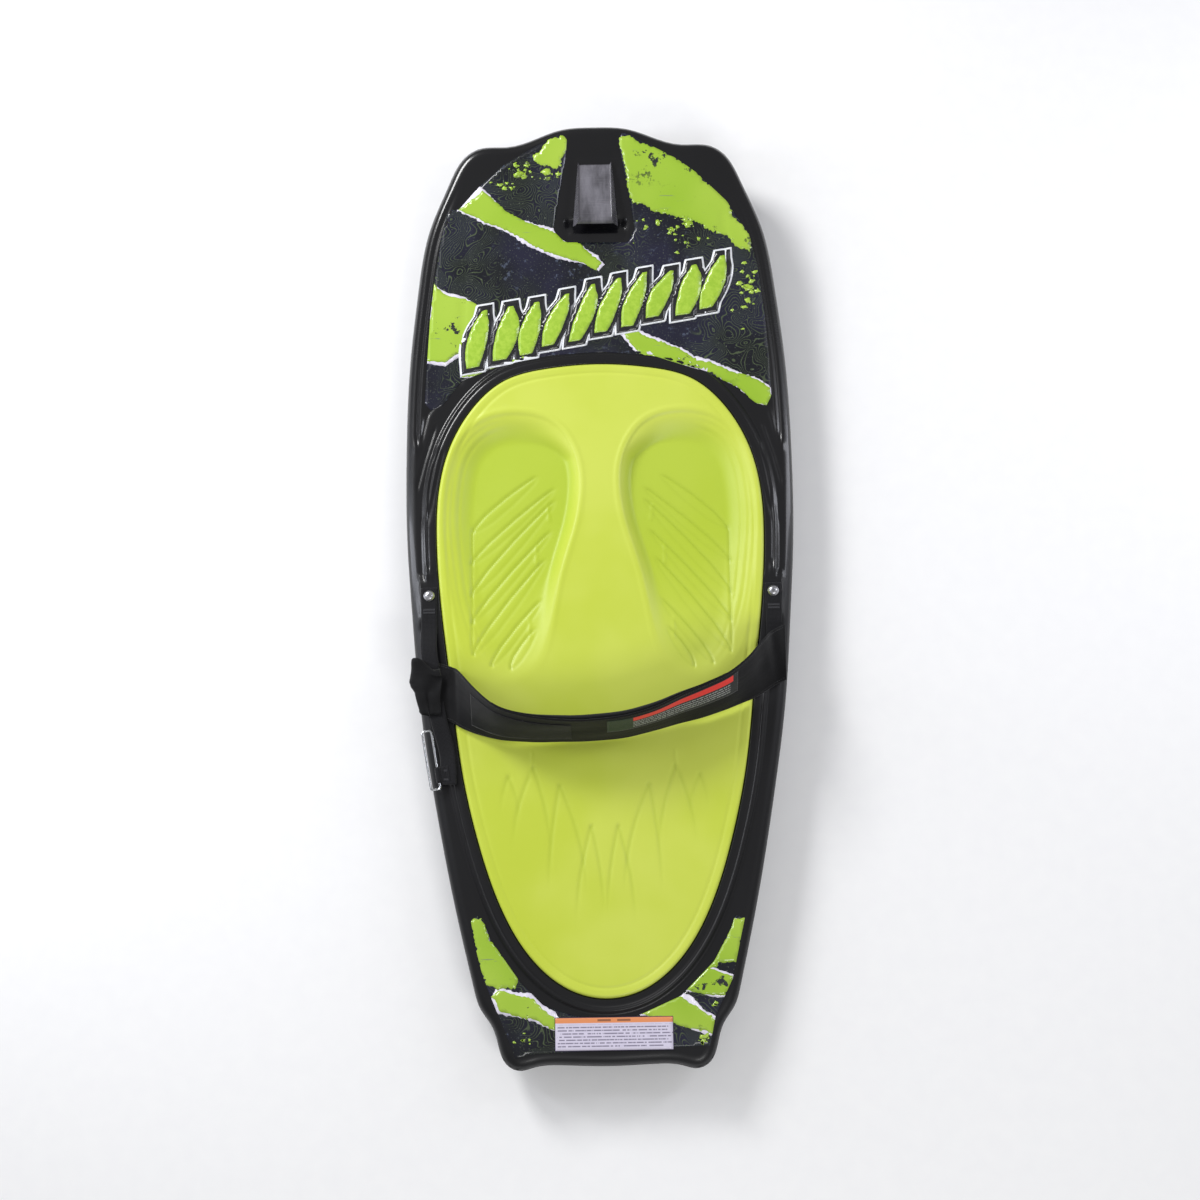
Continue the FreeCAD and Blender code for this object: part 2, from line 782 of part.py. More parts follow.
def wire_ring():
    """Rectangular ring of round wire with bent corners, one long side held in the webbing loop."""
    half_x = ring_width / 2 - ring_wire
    half_y = ring_length / 2 - ring_wire
    flat = Part.makePolygon([
        V(-half_x, -half_y, 0), V(half_x, -half_y, 0), V(half_x, half_y, 0),
        V(-half_x, half_y, 0), V(-half_x, -half_y, 0),
    ])
    slab = Part.Face(flat).extrude(UP)
    slab = slab.makeFillet(ring_bend, [e for e in slab.Edges if e.BoundBox.ZLength > ring_wire / 2])
    path = min(slab.Faces, key=lambda f: f.CenterOfMass.z).OuterWire
    profile = Part.Wire([Part.makeCircle(ring_wire, V(half_x, 0, 0), ALONG)])
    ring = path.makePipeShell([profile], True, False)
    return ring_frame(ring)


def build():
    os.makedirs("parts", exist_ok=True)
    core = foam_core()
    save(core, "foam_core")
    save(hull_shell(core), "hull_shell")
    save(foam_fill_plug(), "foam_fill_plug")
    save(knee_pad(), "knee_pad")
    save(nose_graphic(), "nose_graphic")
    save(tail_graphic(), "tail_graphic")
    save(warning_label(), "warning_label")
    for side, name in ((-1, "left"), (1, "right")):
        save(threaded_insert(side), "threaded_insert_" + name)
        save(strap_screw(side), "strap_screw_" + name)
        save(cup_washer(side), "cup_washer_" + name)
        save(anchor_webbing(side), "anchor_webbing_" + name)
    save(anchor_bartacks(), "anchor_bartacks")
    save(side_webbing_left(), "side_webbing_left")
    save(side_webbing_right(), "side_webbing_right")
    save(strap_band(), "strap_band")
    save(strap_padding(), "strap_padding")
    save(strap_label(), "strap_label")
    save(loop_tape(), "loop_tape")
    save(webbing_bartacks(), "webbing_bartacks")
    save(flap_band(), "flap_band")
    save(hook_tape(), "hook_tape")
    save(wire_ring(), "wire_ring")


build()
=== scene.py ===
import math

import bpy
import numpy as np
from mathutils import Matrix, Vector, geometry


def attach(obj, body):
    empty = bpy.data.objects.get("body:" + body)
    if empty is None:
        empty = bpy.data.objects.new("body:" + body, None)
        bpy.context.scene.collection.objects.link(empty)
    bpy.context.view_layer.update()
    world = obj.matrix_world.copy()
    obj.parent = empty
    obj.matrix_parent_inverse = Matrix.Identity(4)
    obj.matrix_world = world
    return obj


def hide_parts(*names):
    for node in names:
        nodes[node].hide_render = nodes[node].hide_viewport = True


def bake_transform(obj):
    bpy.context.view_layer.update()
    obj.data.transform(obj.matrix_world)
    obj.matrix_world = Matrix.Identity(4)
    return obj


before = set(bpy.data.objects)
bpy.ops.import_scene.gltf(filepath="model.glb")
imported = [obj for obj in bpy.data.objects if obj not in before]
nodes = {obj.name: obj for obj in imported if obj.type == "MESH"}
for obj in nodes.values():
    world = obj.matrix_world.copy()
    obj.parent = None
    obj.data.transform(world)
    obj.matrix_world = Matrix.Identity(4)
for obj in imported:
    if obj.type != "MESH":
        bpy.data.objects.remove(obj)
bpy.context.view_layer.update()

MM = 0.001

# ---------------------------------------------------------------- sizes, mm

half_width, half_length, deck = 266.5, 650.0, 66.0
pad_front, pad_back, pad_half, pad_top, pad_round, well_deep = 310.0, -559.0, 223.5, 74.0, 4.5, 15.0
# half of the hull in plan, nose to tail: x as a share of half_width, y as a share of half_length
hull_outline = (
    (0.000, 1.000), (0.180, 0.995), (0.340, 0.972), (0.460, 0.9605), (0.600, 0.9580), (0.672, 0.9430),
    (0.773, 0.8770), (0.875, 0.7780), (0.935, 0.6500), (0.979, 0.4940), (1.000, 0.2900), (0.9955, 0.1000),
    (0.970, -0.0600), (0.933, -0.2400), (0.860, -0.4420), (0.758, -0.6660), (0.664, -0.8350),
    (0.632, -0.8750), (0.574, -0.9110), (0.537, -0.9600), (0.507, -0.9860), (0.443, -1.0000),
    (0.370, -0.9940), (0.225, -0.9900), (0.000, -0.9930),
)
# half of the pad in plan, front to back: x as a share of pad_half, y as a share of the way back
pad_outline = (
    (0.000, 0.000), (0.310, 0.006), (0.580, 0.025), (0.785, 0.072), (0.926, 0.138), (0.995, 0.225),
    (1.000, 0.285), (0.970, 0.400), (0.915, 0.520), (0.855, 0.645), (0.760, 0.757), (0.626, 0.860),
    (0.425, 0.945), (0.200, 0.989), (0.000, 1.000),
)
# the strap from left to right: x as a share of anchor_x, way back from the anchors, lean in degrees
band_stations = (
    (-1.065, 165.0, 0.5), (-1.000, 167.0, 0.5), (-0.925, 171.0, 0.5), (-0.855, 177.0, 1.5),
    (-0.790, 186.0, 26.0), (-0.630, 197.0, 60.0), (-0.380, 203.0, 72.0), (-0.080, 202.0, 77.0),
    (0.210, 194.0, 75.0), (0.470, 179.0, 68.0), (0.700, 164.0, 58.0), (0.870, 148.0, 40.0),
    (0.975, 134.0, 12.0), (1.060, 124.0, 3.0),
)
anchor_x, anchor_y = 234.139, -14.0
seat_level = 71.0
rail_round, base_round = 14.0, 12.0
hollow_y, hollow_reach, hollow_deep = 510.5, 15.0, 9.0
hook_front, hook_tall = 594.0, 22.0
fin_back, fin_run, fin_deep = -580.0, 80.0, 11.0
strap_width, station_run = 76.0, 38.0
band_low, band_settle = 76.0, 3.7
label_from, label_to, label_share = 22 / 3, 31 / 3, 0.42
tape_from, tape_to = 13 / 3, 20 / 3
webbing_width, webbing_thick = 22.0, 2.2
film_thick, film_grid = 0.18, 5.0
# how far each printed layer stands off the deck, and the films' finishes in the order of their list
ground_lift, paper_lift, block_lift, drop_lift, lime_lift, label_lift = 0.35, 0.55, 0.65, 0.7, 0.75, 1.0
ground, lime, paper, keyline, outline, bright = range(6)


# ---------------------------------------------------------------- curves and distances

def cubic(knots, values, at, closed=False):
    """Smooth curve through values at knots, read at many places."""
    knots = np.asarray(knots, float)
    values = np.asarray(values, float)
    at = np.asarray(at, float)
    if values.ndim == 1:
        return cubic(knots, values[:, None], at, closed)[:, 0]
    step = np.diff(knots)
    slope = np.diff(values, axis=0) / step[:, None]
    count = len(step) if closed else len(knots)
    matrix = np.eye(count)
    right = np.zeros((count, values.shape[1]))
    for i in range(count) if closed else range(1, count - 1):
        before, after = step[i - 1], step[i]
        matrix[i, i] = 2 * (before + after)
        matrix[i, (i - 1) % count] += before
        matrix[i, (i + 1) % count] += after
        right[i] = 6 * (slope[i] - slope[i - 1])
    bend = np.linalg.solve(matrix, right)
    if closed:
        bend = np.vstack([bend, bend[:1]])
    i = np.clip(np.searchsorted(knots, at, "right") - 1, 0, len(step) - 1)
    h = step[i][:, None]
    a = (knots[i + 1] - at)[:, None] / h
    b = 1 - a
    curved = ((a ** 3 - a) * bend[i] + (b ** 3 - b) * bend[i + 1]) * h * h / 6
    return a * values[i] + b * values[i + 1] + curved


def run_along(line):
    """Length run up to each point of a line."""
    return np.concatenate([[0], np.cumsum(np.linalg.norm(np.diff(line, axis=0), axis=1))])


def evenly(line, count):
    """A closed run of points read again at even spacing."""
    line = np.asarray(line, float)
    line = np.vstack([line, line[:1]])
    run = run_along(line)
    at = np.linspace(0, run[-1], count + 1)[:-1]
    return np.stack([np.interp(at, run, line[:, k]) for k in range(line.shape[1])], 1)


def rounded_ring(points, count):
    """A smooth closed curve through points, read at many places."""
    ring = np.vstack([points, points[:1]])
    knots = run_along(ring)
    return cubic(knots, ring, np.linspace(0, knots[-1], count + 1)[:-1], closed=True)


def closed_outline(half_points, count):
    """Closed smooth outline from one half, from the nose round the right side, evenly spaced."""
    right = np.asarray(half_points, float)
    left = right[1:-1][::-1] * (-1, 1)
    line = evenly(rounded_ring(np.vstack([right, left]), 6000), count)
    half = count // 2
    line[0, 0] = line[half, 0] = 0.0
    line[half + 1:] = line[1:half][::-1] * (-1, 1)
    return line


def distance(points, line, closed=True):
    """Distance of each point from a run of straight pieces."""
    points = np.asarray(points, float)
    a = np.asarray(line, float)
    b = np.roll(a, -1, 0) if closed else a[1:]
    a = a if closed else a[:-1]
    run = b - a
    size = np.maximum((run * run).sum(1), 1e-12)
    best = np.empty(len(points))
    batch = 6000
    for start in range(0, len(points), batch):
        gap = points[start:start + batch, None] - a[None]
        t = np.clip((gap * run).sum(-1) / size, 0, 1)
        gap -= t[..., None] * run
        best[start:start + batch] = np.sqrt((gap * gap).sum(-1)).min(1)
    return best


def inside(points, line):
    """True for points within a closed run."""
    x, y = points[:, 0], points[:, 1]
    found = np.zeros(len(points), bool)
    for (x0, y0), (x1, y1) in zip(line, np.roll(line, -1, 0)):
        crosses = (y0 > y) != (y1 > y)
        if crosses.any():
            found ^= crosses & (x < x0 + (y - y0) * (x1 - x0) / (y1 - y0 + 1e-12))
    return found


def smooth(value):
    """0 to 1 with a soft start and end."""
    value = np.clip(value, 0, 1)
    return value * value * (3 - 2 * value)


def bell(value):
    """1 in the middle, falling away on both sides."""
    return np.exp(-value ** 2)


def rounded(away, radius):
    """How far a rounded edge falls below its level, at a distance in from the edge."""
    return radius - np.sqrt(np.clip(radius ** 2 - (radius - np.clip(away, 0, radius)) ** 2, 0, None))


def ripple(x, y, scale, seed):
    """Slow unevenness between about -1 and 1."""
    rng = np.random.default_rng(seed)
    total = 0
    for _ in range(5):
        turn, phase, pace = rng.uniform(0, math.tau), rng.uniform(0, math.tau), rng.uniform(0.6, 1.7)
        total = total + np.sin((x * math.cos(turn) + y * math.sin(turn)) * pace * math.tau / scale + phase)
    return total / 2.5


def pad_edge(count):
    """The pad's outline."""
    long = pad_front - pad_back
    return closed_outline([(w * pad_half, pad_front - s * long) for w, s in pad_outline], count)


hull_line = closed_outline([(w * half_width, s * half_length) for w, s in hull_outline], 560)
pad_line = pad_edge(560)


def arc(run, rise, along):
    """Rise of a circular arc that starts level and comes up by rise over run."""
    radius = (run * run + rise * rise) / (2 * rise)
    return radius - np.sqrt(radius * radius - np.clip(along, 0, run + 60) ** 2)


def deck_height(y):
    """Level of the deck, which rises to the nose."""
    return deck + arc(450.0, 40.0, y - 200.0)


def base_height(y):
    """Level of the base, with its nose and tail rocker."""
    return arc(500.0, 62.0, y - 150.0) + arc(350.0, 28.0, -300.0 - y)


# ---------------------------------------------------------------- the moulded deck

def groove(x, y, line, width):
    """1 in the middle of a groove along a run of points, 0 beside it; both sides of the board are alike."""
    away = distance(np.stack([np.abs(x), y], 1), line, closed=False)
    return bell(away / width)


def deck_top(x, y, rail, rim):
    """Height of the moulded skin, by the distance in from the side and the distance out from the pad."""
    z = deck_height(y)
    z = z - rounded(rail, rail_round)
    along = smooth((y - 185) / 30) * smooth((575 - y) / 50)
    z = z - 1.7 * along * bell((rail - 15.5) / 2.0) + 1.0 * along * bell((rail - 20.5) / 2.4)
    z = z + 1.6 * np.exp(-(((np.abs(x) - 252) / 4.0) ** 2 + ((y - 196) / 7.0) ** 2))
    lip = smooth((21.5 - rim) / 5.5)
    crest = 5.0 * lip - 1.1 * bell((rim - 12.5) / 1.8) - 0.35 * smooth((12.0 - rim) / 3.0)
    z = z + crest
    z = z - rounded(rim - 0.5, 3.0)
    for line, depth, wide in (
        (((226, 189), (243, 92)), 1.3, 2.4), (((215, 188), (235, 94)), 1.1, 2.2),
        (((227, 221), (240, 180), (250, 141)), 1.0, 2.2), (((222, 262), (236, 245), (246, 205)), 1.2, 3.0),
        (((178, 520), (189, 347), (191, 290)), 1.1, 5.0), (((150, 470), (150, 385)), 0.7, 6.0),
    ):
        z = z - depth * groove(x, y, line, wide)
    seat = np.maximum(np.abs(np.abs(x) - anchor_x) - 12.0, np.abs(y + 22.0) - 30.0)
    level = smooth((3.0 - seat) / 3.0)
    z = z + (seat_level - z) * level
    z = z + 2.4 * np.exp(-(((np.abs(x) - 235) / 5.0) ** 4 + ((y - 18) / 6.5) ** 4))
    hollow = hollow_reach ** 2 - (y - hollow_y) ** 2
    ends = smooth((50.0 - np.abs(x)) / 20.0)
    bed = deck_height(hollow_y) + hollow_deep - np.sqrt(np.clip(hollow, 0, None))
    dish = np.where(hollow > 0, np.minimum(0, bed - z), 0) * ends
    apron = np.maximum(np.abs(x) - 40.0 + 0.12 * (y - 500), np.maximum(y - 606, 488 - y))
    return z + dish - 1.2 * bell(apron / 2.2)


def base_under(x, y):
    """Height of the moulded base, with its three long grooves."""
    z = base_height(y)
    for middle in (-130.0, 0.0, 130.0):
        away = np.hypot(x - middle, y - np.clip(y, -230.0, 150.0))
        z = np.maximum(z, -12.0 + np.sqrt(np.clip(16.0 ** 2 - away ** 2, 0, None)))
    return z


# ---------------------------------------------------------------- meshes

def outward(points, faces):
    """Faces of a closed shell, turned if need be so that they look out."""
    points = np.asarray(points, float)
    total = 0.0
    for corners in (3, 4):
        group = np.array([f for f in faces if len(f) == corners])
        for k in range(1, corners - 1) if len(group) else ():
            a, b, c = points[group[:, 0]], points[group[:, k]], points[group[:, k + 1]]
            total += (a * np.cross(b, c)).sum()
    return faces if total > 0 else [list(f)[::-1] for f in faces]


def as_piece(name, points, faces, finishes, indices=None, maps=None, marks=None):
    """A mesh object from points in mm; maps are UV pairs per point, marks are named values per point."""
    mesh = bpy.data.meshes.new(name)
    mesh.from_pydata((np.asarray(points, float) * MM).tolist(), [], [list(map(int, f)) for f in faces])
    for finish in finishes if isinstance(finishes, (list, tuple)) else [finishes]:
        mesh.materials.append(finish)
    if indices is not None:
        mesh.polygons.foreach_set("material_index", np.asarray(indices, np.int32))
    if maps is not None:
        corners = np.empty(len(mesh.loops), np.int32)
        mesh.loops.foreach_get("vertex_index", corners)
        layer = mesh.uv_layers.new(name="lay")
        layer.data.foreach_set("uv", np.asarray(maps, float)[corners].astype(np.float32).ravel())
    for key, values in (marks or {}).items():
        mark = mesh.attributes.new(key, "FLOAT", "POINT")
        mark.data.foreach_set("value", np.asarray(values, np.float32))
    mesh.polygons.foreach_set("use_smooth", np.ones(len(mesh.polygons), bool))
    mesh.validate()
    mesh.update()
    made = bpy.data.objects.new(name, mesh)
    bpy.context.scene.collection.objects.link(made)
    return made


def lattice(rows, columns, wrap=True):
    """Faces of a lattice of points, row by row."""
    last = columns if wrap else columns - 1
    r, c = np.meshgrid(np.arange(rows - 1), np.arange(last), indexing="ij")
    a = r * columns + c
    b = r * columns + (c + 1) % columns
    return np.stack([a, b, b + columns, a + columns], -1).reshape(-1, 4)


def both_sides(values):
    """Values along the right half's outline, carried over to the left half."""
    return np.concatenate([values, values[1:-1][::-1]])


def spine_of(line, front, back):
    """Point on the centre line that each outline point looks to."""
    half = len(line) // 2
    y = line[:half + 1, 1]
    at = np.where(y > 0, y * front / y.max(), y * back / y.min())
    return both_sides(np.minimum.accumulate(at) - np.arange(half + 1) * 0.01)


def zipped(faces, columns, row_start):
    """Joins the two sides of a row that lies on the centre line."""
    place = faces - row_start
    flip = (place > columns // 2) & (place < columns) & (place >= 0)
    return np.where(flip, row_start + columns - place, faces)


def clean_faces(faces):
    """Drops corners that fell together, and faces with none left."""
    kept = []
    for face in faces.tolist():
        corners = [v for i, v in enumerate(face) if v != face[i - 1]]
        if len(set(corners)) > 2:
            kept.append(corners)
    return kept


def shell_of(rows):
    """Points and faces of a closed shell whose first and last rows lie on the centre line."""
    count = len(rows[0])
    faces = lattice(len(rows), count)
    for start in (0, (len(rows) - 1) * count):
        faces = zipped(faces, count, start)
    points = np.vstack(rows)
    return points, outward(points, clean_faces(faces))


def rays_of(line, spine, others, samples=160):
    """Shares of the way along each outline point's ray to the centre line, distances there, and places."""
    half = len(line) // 2
    share = np.concatenate([np.linspace(0, 0.25, samples // 2)[:-1], np.linspace(0.25, 1, samples // 2 + 1)])
    start = line[:half + 1]
    ends = np.stack([np.zeros(half + 1), spine[:half + 1]], 1)
    points = start[:, None] + (ends - start)[:, None] * share[None, :, None]
    flat = points.reshape(-1, 2)
    shape = points.shape[:2]
    return share, [distance(flat, other[::2]).reshape(shape) for other in others], points


def bend_inward(line, spine, share):
    """Points at a share of the way from the outline to the centre line, one share for each ray of a side."""
    ends = np.stack([np.zeros(len(line)), spine], 1)
    return line + (ends - line) * both_sides(share)[:, None]


def read_rays(row, share, at):
    """Distances at a row's places on the rays, for both sides of the board."""
    return both_sides(np.array([np.interp(row[k], share, at[k]) for k in range(len(row))]))


def hull_skin(finish):
    """The moulded shell: deck, rounded rail with its parting line, side, base and fins."""
    line = hull_line
    count = len(line)
    half = count // 2
    spine = spine_of(line, 230.0, -450.0)
    share, (rail_at, rim_at), points = rays_of(line, spine, (line, pad_line))
    side = inside(points.reshape(-1, 2), pad_line).reshape(rim_at.shape)
    rim_at = np.where(side, -rim_at, rim_at)
    rail_at = np.maximum.accumulate(rail_at, 1)
    rim_at = np.minimum.accumulate(rim_at, 1)
    rail_steps = rail_round * (1 - np.cos(np.linspace(0, math.pi / 2, 9)))
    lip_steps = (22.0, 20.5, 19.0, 17.5, 16.2, 15.0, 14.0, 13.2, 12.5, 11.8, 11.0, 9.5, 7.5, 5.5, 3.6, 2.6,
                 1.8, 1.2, 0.8, 0.55)
    shares = []
    for ray in range(half + 1):
        rail, rim = rail_at[ray] + share * 1e-6, rim_at[ray] - share * 1e-6
        rails = np.interp(rail_steps, rail, share)
        lip = np.interp(-np.array(lip_steps), -rim, share)
        wide = np.linspace(rails[-1], lip[0], 62)[1:-1]
        floor = np.interp(-np.array([0.5, -8.0]), -rim, share)
        shares.append(np.concatenate([rails, wide, lip, floor, [1.0]]))
    shares = np.array(shares).T
    rows = []
    for number, row in enumerate(shares):
        place = bend_inward(line, spine, row)
        rail, rim = read_rays(row, share, rail_at), read_rays(row, share, rim_at)
        z = deck_top(place[:, 0], place[:, 1], rail, rim)
        if number >= len(shares) - 3:
            z = np.full(count, deck - 12.0)
        if number == 0:
            z = deck_height(place[:, 1]) - rail_round
        rows.append(np.column_stack([place, z]))
    rows = rows[::-1]
    low, high = base_height(line[:, 1]) + base_round, deck_height(line[:, 1]) - rail_round
    chord = np.roll(line, -1, 0) - np.roll(line, 1, 0)
    off_side = np.stack([-chord[:, 1], chord[:, 0]], 1)
    off_side /= np.linalg.norm(off_side, axis=1)[:, None]
    for down in (0.25, 0.45, 0.5, 0.55, 0.75, 1.0):
        proud = 0.7 if down == 0.5 else 0.0
        rows.append(np.column_stack([line + off_side * proud, high + (low - high) * down]))
    base_rails = base_round * (1 - np.cos(np.linspace(0, math.pi / 2, 7)))[1:]
    base_shares = []
    for ray in range(half + 1):
        turned = np.interp(base_rails, rail_at[ray] + share * 1e-6, share)
        base_shares.append(np.concatenate([turned, np.linspace(turned[-1], 1.0, 50)[1:]]))
    base_shares = np.array(base_shares).T
    for number, row in enumerate(base_shares):
        place = bend_inward(line, spine, row)
        z = base_under(place[:, 0], place[:, 1])
        if number < len(base_rails):
            z = base_height(place[:, 1]) + rounded(base_rails[number], base_round)
        rows.append(np.column_stack([place, z]))
    points, faces = shell_of(rows)
    fin_faces, fin_points = [], []
    for middle in (-105.0, -35.0, 35.0, 105.0):
        start = len(points) + sum(map(len, fin_points))
        block, block_faces = fin_blade(middle)
        fin_points.append(block)
        fin_faces += [[start + v for v in face] for face in outward(block, block_faces)]
    return as_piece("hull_skin", np.vstack([points] + fin_points), faces + fin_faces, finish)


def fin_blade(middle):
    """Moulded fin: a slim lens in plan, deepest in its middle."""
    ys = np.linspace(fin_back, fin_back + fin_run, 25)
    across = ((-1, 0), (-0.96, 0.4), (-0.8, 0.8), (-0.4, 1), (0.4, 1), (0.8, 0.8), (0.96, 0.4), (1, 0))
    rows = []
    for y in ys:
        share = (y - fin_back) / fin_run
        half = 5.0 * math.sqrt(max(0.02, 1 - (2 * share - 1) ** 2))
        root = float(base_height(y)) + 2.5
        tip = max(root - fin_deep * smooth(min(share / 0.16, (1 - share) / 0.5)), 0.4)
        rows.append([(middle + half * a, y, root + (tip - root) * b) for a, b in across])
    points = np.array(rows).reshape(-1, 3)
    faces = lattice(len(ys), 8).tolist()
    return points, faces + [list(range(8))[::-1], [len(points) - 8 + k for k in range(8)]]


# ---------------------------------------------------------------- knee pad

# right knee well in plan
well_outline = (
    (114, 240), (62, 224), (41, 196), (31, 163), (31, 122), (39, 80), (50, 44), (60, 8), (68, -32),
    (76, -74), (92, -112), (128, -132), (166, -112), (190, -62), (201, -20), (207, 22), (213, 90),
    (210, 142), (197, 192), (162, 229),
)
# grooves in the well: root, tip and half width
blades = (
    ((174, 78), (84, 155), 7.0), ((177, 32), (60, 138), 6.0), ((177, -13), (60, 121), 7.0),
    ((176, -52), (66, 78), 6.0), ((174, -96), (74, 38), 7.0), ((150, -112), (80, -20), 6.0),
    ((124, -116), (88, -60), 6.0),
)
# pointed grooves behind the well: tip, inner foot and outer foot
petals = (
    ((60, -274), (24, -428), (76, -428)), ((95, -250), (72, -372), (124, -366)),
    ((18, -330), (2, -455), (40, -470)), ((128, -262), (112, -330), (140, -322)),
)


def pad_shape(x, y):
    """Depth below the pad's level top, how far into a groove each point is, and how far down a knee well."""
    side = np.abs(x)
    edge = rounded_ring(np.asarray(well_outline, float), 240)
    points = np.stack([side, y], 1)
    into = distance(points, edge) * np.where(inside(points, edge), 1, -1)
    fade = smooth((y + 170) / 190)
    inner = smooth((118 - side) / 50) * smooth((215 - y) / 40)
    dish = well_deep * smooth((into + 3) / (44 - 26 * inner)) * (0.35 + 0.65 * smooth((y + 120) / 250))
    shoulder = 2.0 * smooth((into + 3) / 4.5) * smooth((y + 90) / 120)
    outer = smooth((side - 120) / 40) * fade
    steps = sum(0.9 * bell((into - at) / 1.7) for at in (9.0, 19.0)) * outer
    fold = 0.8 * bell((into + 7.0) / 3.0) * fade
    lines = np.zeros(len(x))
    for (x0, y0), (x1, y1), wide in blades:
        run = np.array([x1 - x0, y1 - y0], float)
        size = np.linalg.norm(run)
        along = ((side - x0) * run[0] + (y - y0) * run[1]) / size
        across = ((side - x0) * run[1] - (y - y0) * run[0]) / size
        share = np.clip(along / size, 0, 1)
        beyond = np.maximum(np.maximum(-along, along - size), 0)
        half = wide * np.sqrt(np.clip(share * 4, 0, 1)) * np.sqrt(np.clip((1 - share) * 2.2, 0, 1))
        crease = bell((across - half) / 1.5) + 0.35 * bell((across + half) / 1.9)
        lines += crease * bell(beyond / 2.0) * smooth((size - along) / 14 + 0.2)
    lines += 0.8 * bell((side - 176) / 1.6) * smooth((y + 100) / 16) * smooth((88 - y) / 16)
    for tip, inner, outside in petals:
        for foot in (inner, outside):
            bulge = (tip[0] + foot[0]) / 2 + 0.22 * (foot[0] - tip[0])
            leg = cubic((0, 1, 2), (tip, (bulge, (tip[1] + foot[1]) / 2), foot), np.linspace(0, 2, 15))
            run = smooth((y - foot[1]) / 70) * smooth((tip[1] - y) / 8 + 0.5)
            lines += 0.5 * np.exp(-(distance(points, leg, closed=False) / 2.6) ** 2) * run
    ticks = (((88, 30), (88, 55)), ((98, -74), (98, -50)), ((70, 92), (72, 112)), ((98, -262), (96, -232)))
    raised = sum(np.exp(-(distance(points, line, closed=False) / 2.0) ** 2) for line in ticks)
    lines = np.clip(lines, 0, 1.3)
    swell = 1.2 * np.exp(-((side / 90.0) ** 2 + ((y - 60) / 200.0) ** 2))
    back = 1.4 * smooth((-120 - y) / 140) * bell((side - 85) / 60)
    depth = dish + shoulder + steps - fold + 1.9 * lines - 0.8 * raised - swell + back
    return depth, lines, dish / well_deep


def knee_pad_foam(finish):
    """The moulded pad: a rounded rim with a border line, two knee wells, and a level underside."""
    count = 760
    line = pad_edge(count)
    half = count // 2
    spine = spine_of(line, 150.0, -400.0)
    share, (rim_at,), _ = rays_of(line, spine, (line,))
    rim_at = np.maximum.accumulate(rim_at, 1)
    turn = pad_round * (1 - np.cos(np.linspace(0, math.pi / 2, 7)))
    shares = []
    for ray in range(half + 1):
        edge = np.interp(turn, rim_at[ray] + share * 1e-6, share)
        shares.append(np.concatenate([edge, np.linspace(edge[-1], 1.0, 108)[1:]]))
    shares = np.array(shares).T
    rows, marks, wells = [], [], []
    for row in shares:
        place = bend_inward(line, spine, row)
        rim = read_rays(row, share, rim_at)
        down, mark, well = pad_shape(place[:, 0], place[:, 1])
        keep = smooth(rim / 16.0)
        border = 0.9 * bell((rim - 13.0) / 1.8) - 0.5 * smooth(1 - rim / 12.0)
        step = np.clip(deck_height(place[:, 1]) - deck, 0, None)
        z = pad_top + step - down * keep - rounded(rim, pad_round) - border
        rows.append(np.column_stack([place, z]))
        marks.append(mark * keep)
        wells.append(well * keep)
    rows, marks, wells = rows[::-1], marks[::-1], wells[::-1]
    side_z, under_z = 62.0, 54.3
    for z in (side_z, under_z):
        rows.append(np.column_stack([line, np.full(count, z)]))
    for row in (0.3, 0.7, 1.0):
        place = bend_inward(line, spine, np.full(half + 1, row))
        rows.append(np.column_stack([place, np.full(count, under_z)]))
    points, faces = shell_of(rows)
    plain = np.zeros(len(points) - count * len(marks))
    # the crease and well marks also feed the foam finish, which paints shade into the grooves and wells from
    # them
    return as_piece("knee_pad_foam", points, faces, finish, marks={
        "crease": np.concatenate(marks + [plain]), "well": np.concatenate(wells + [plain])})


# ---------------------------------------------------------------- printed films

def on_deck(x, y):
    """Deck height at places off the pad."""
    points = np.stack([x, y], 1)
    return deck_top(x, y, distance(points, hull_line[::2]), distance(points, pad_line[::2]))


def film_layer(edge, lift):
    """Closed thin sheet inside an outline, following the deck: points and faces."""
    edge = np.asarray(edge, float)
    low, high = edge.min(0), edge.max(0)
    xs, ys = np.meshgrid(np.arange(low[0], high[0], film_grid), np.arange(low[1], high[1], film_grid))
    grid = np.stack([xs.ravel(), ys.ravel()], 1)
    grid = grid[inside(grid, edge)]
    grid = grid[distance(grid, edge) > film_grid * 0.45]
    everything = [Vector(p) for p in np.vstack([edge, grid])]
    ring = [list(range(len(edge)))]
    flat, _, triangles, _, _, _ = geometry.delaunay_2d_cdt(everything, [], ring, 1, 1e-4)
    flat = np.array([tuple(p) for p in flat])
    top = np.column_stack([flat, on_deck(flat[:, 0], flat[:, 1]) + lift])
    count = len(flat)
    faces = [list(t) for t in triangles]
    borders = {}
    for a, b, c in faces:
        for pair in ((a, b), (b, c), (c, a)):
            borders[frozenset(pair)] = None if frozenset(pair) in borders else pair
    walls = [[b, a, a + count, b + count] for a, b in filter(None, borders.values())]
    under = [[a + count, c + count, b + count] for a, b, c in faces]
    points = np.vstack([top, top - (0, 0, film_thick)])
    return points, outward(points, faces + under + walls)


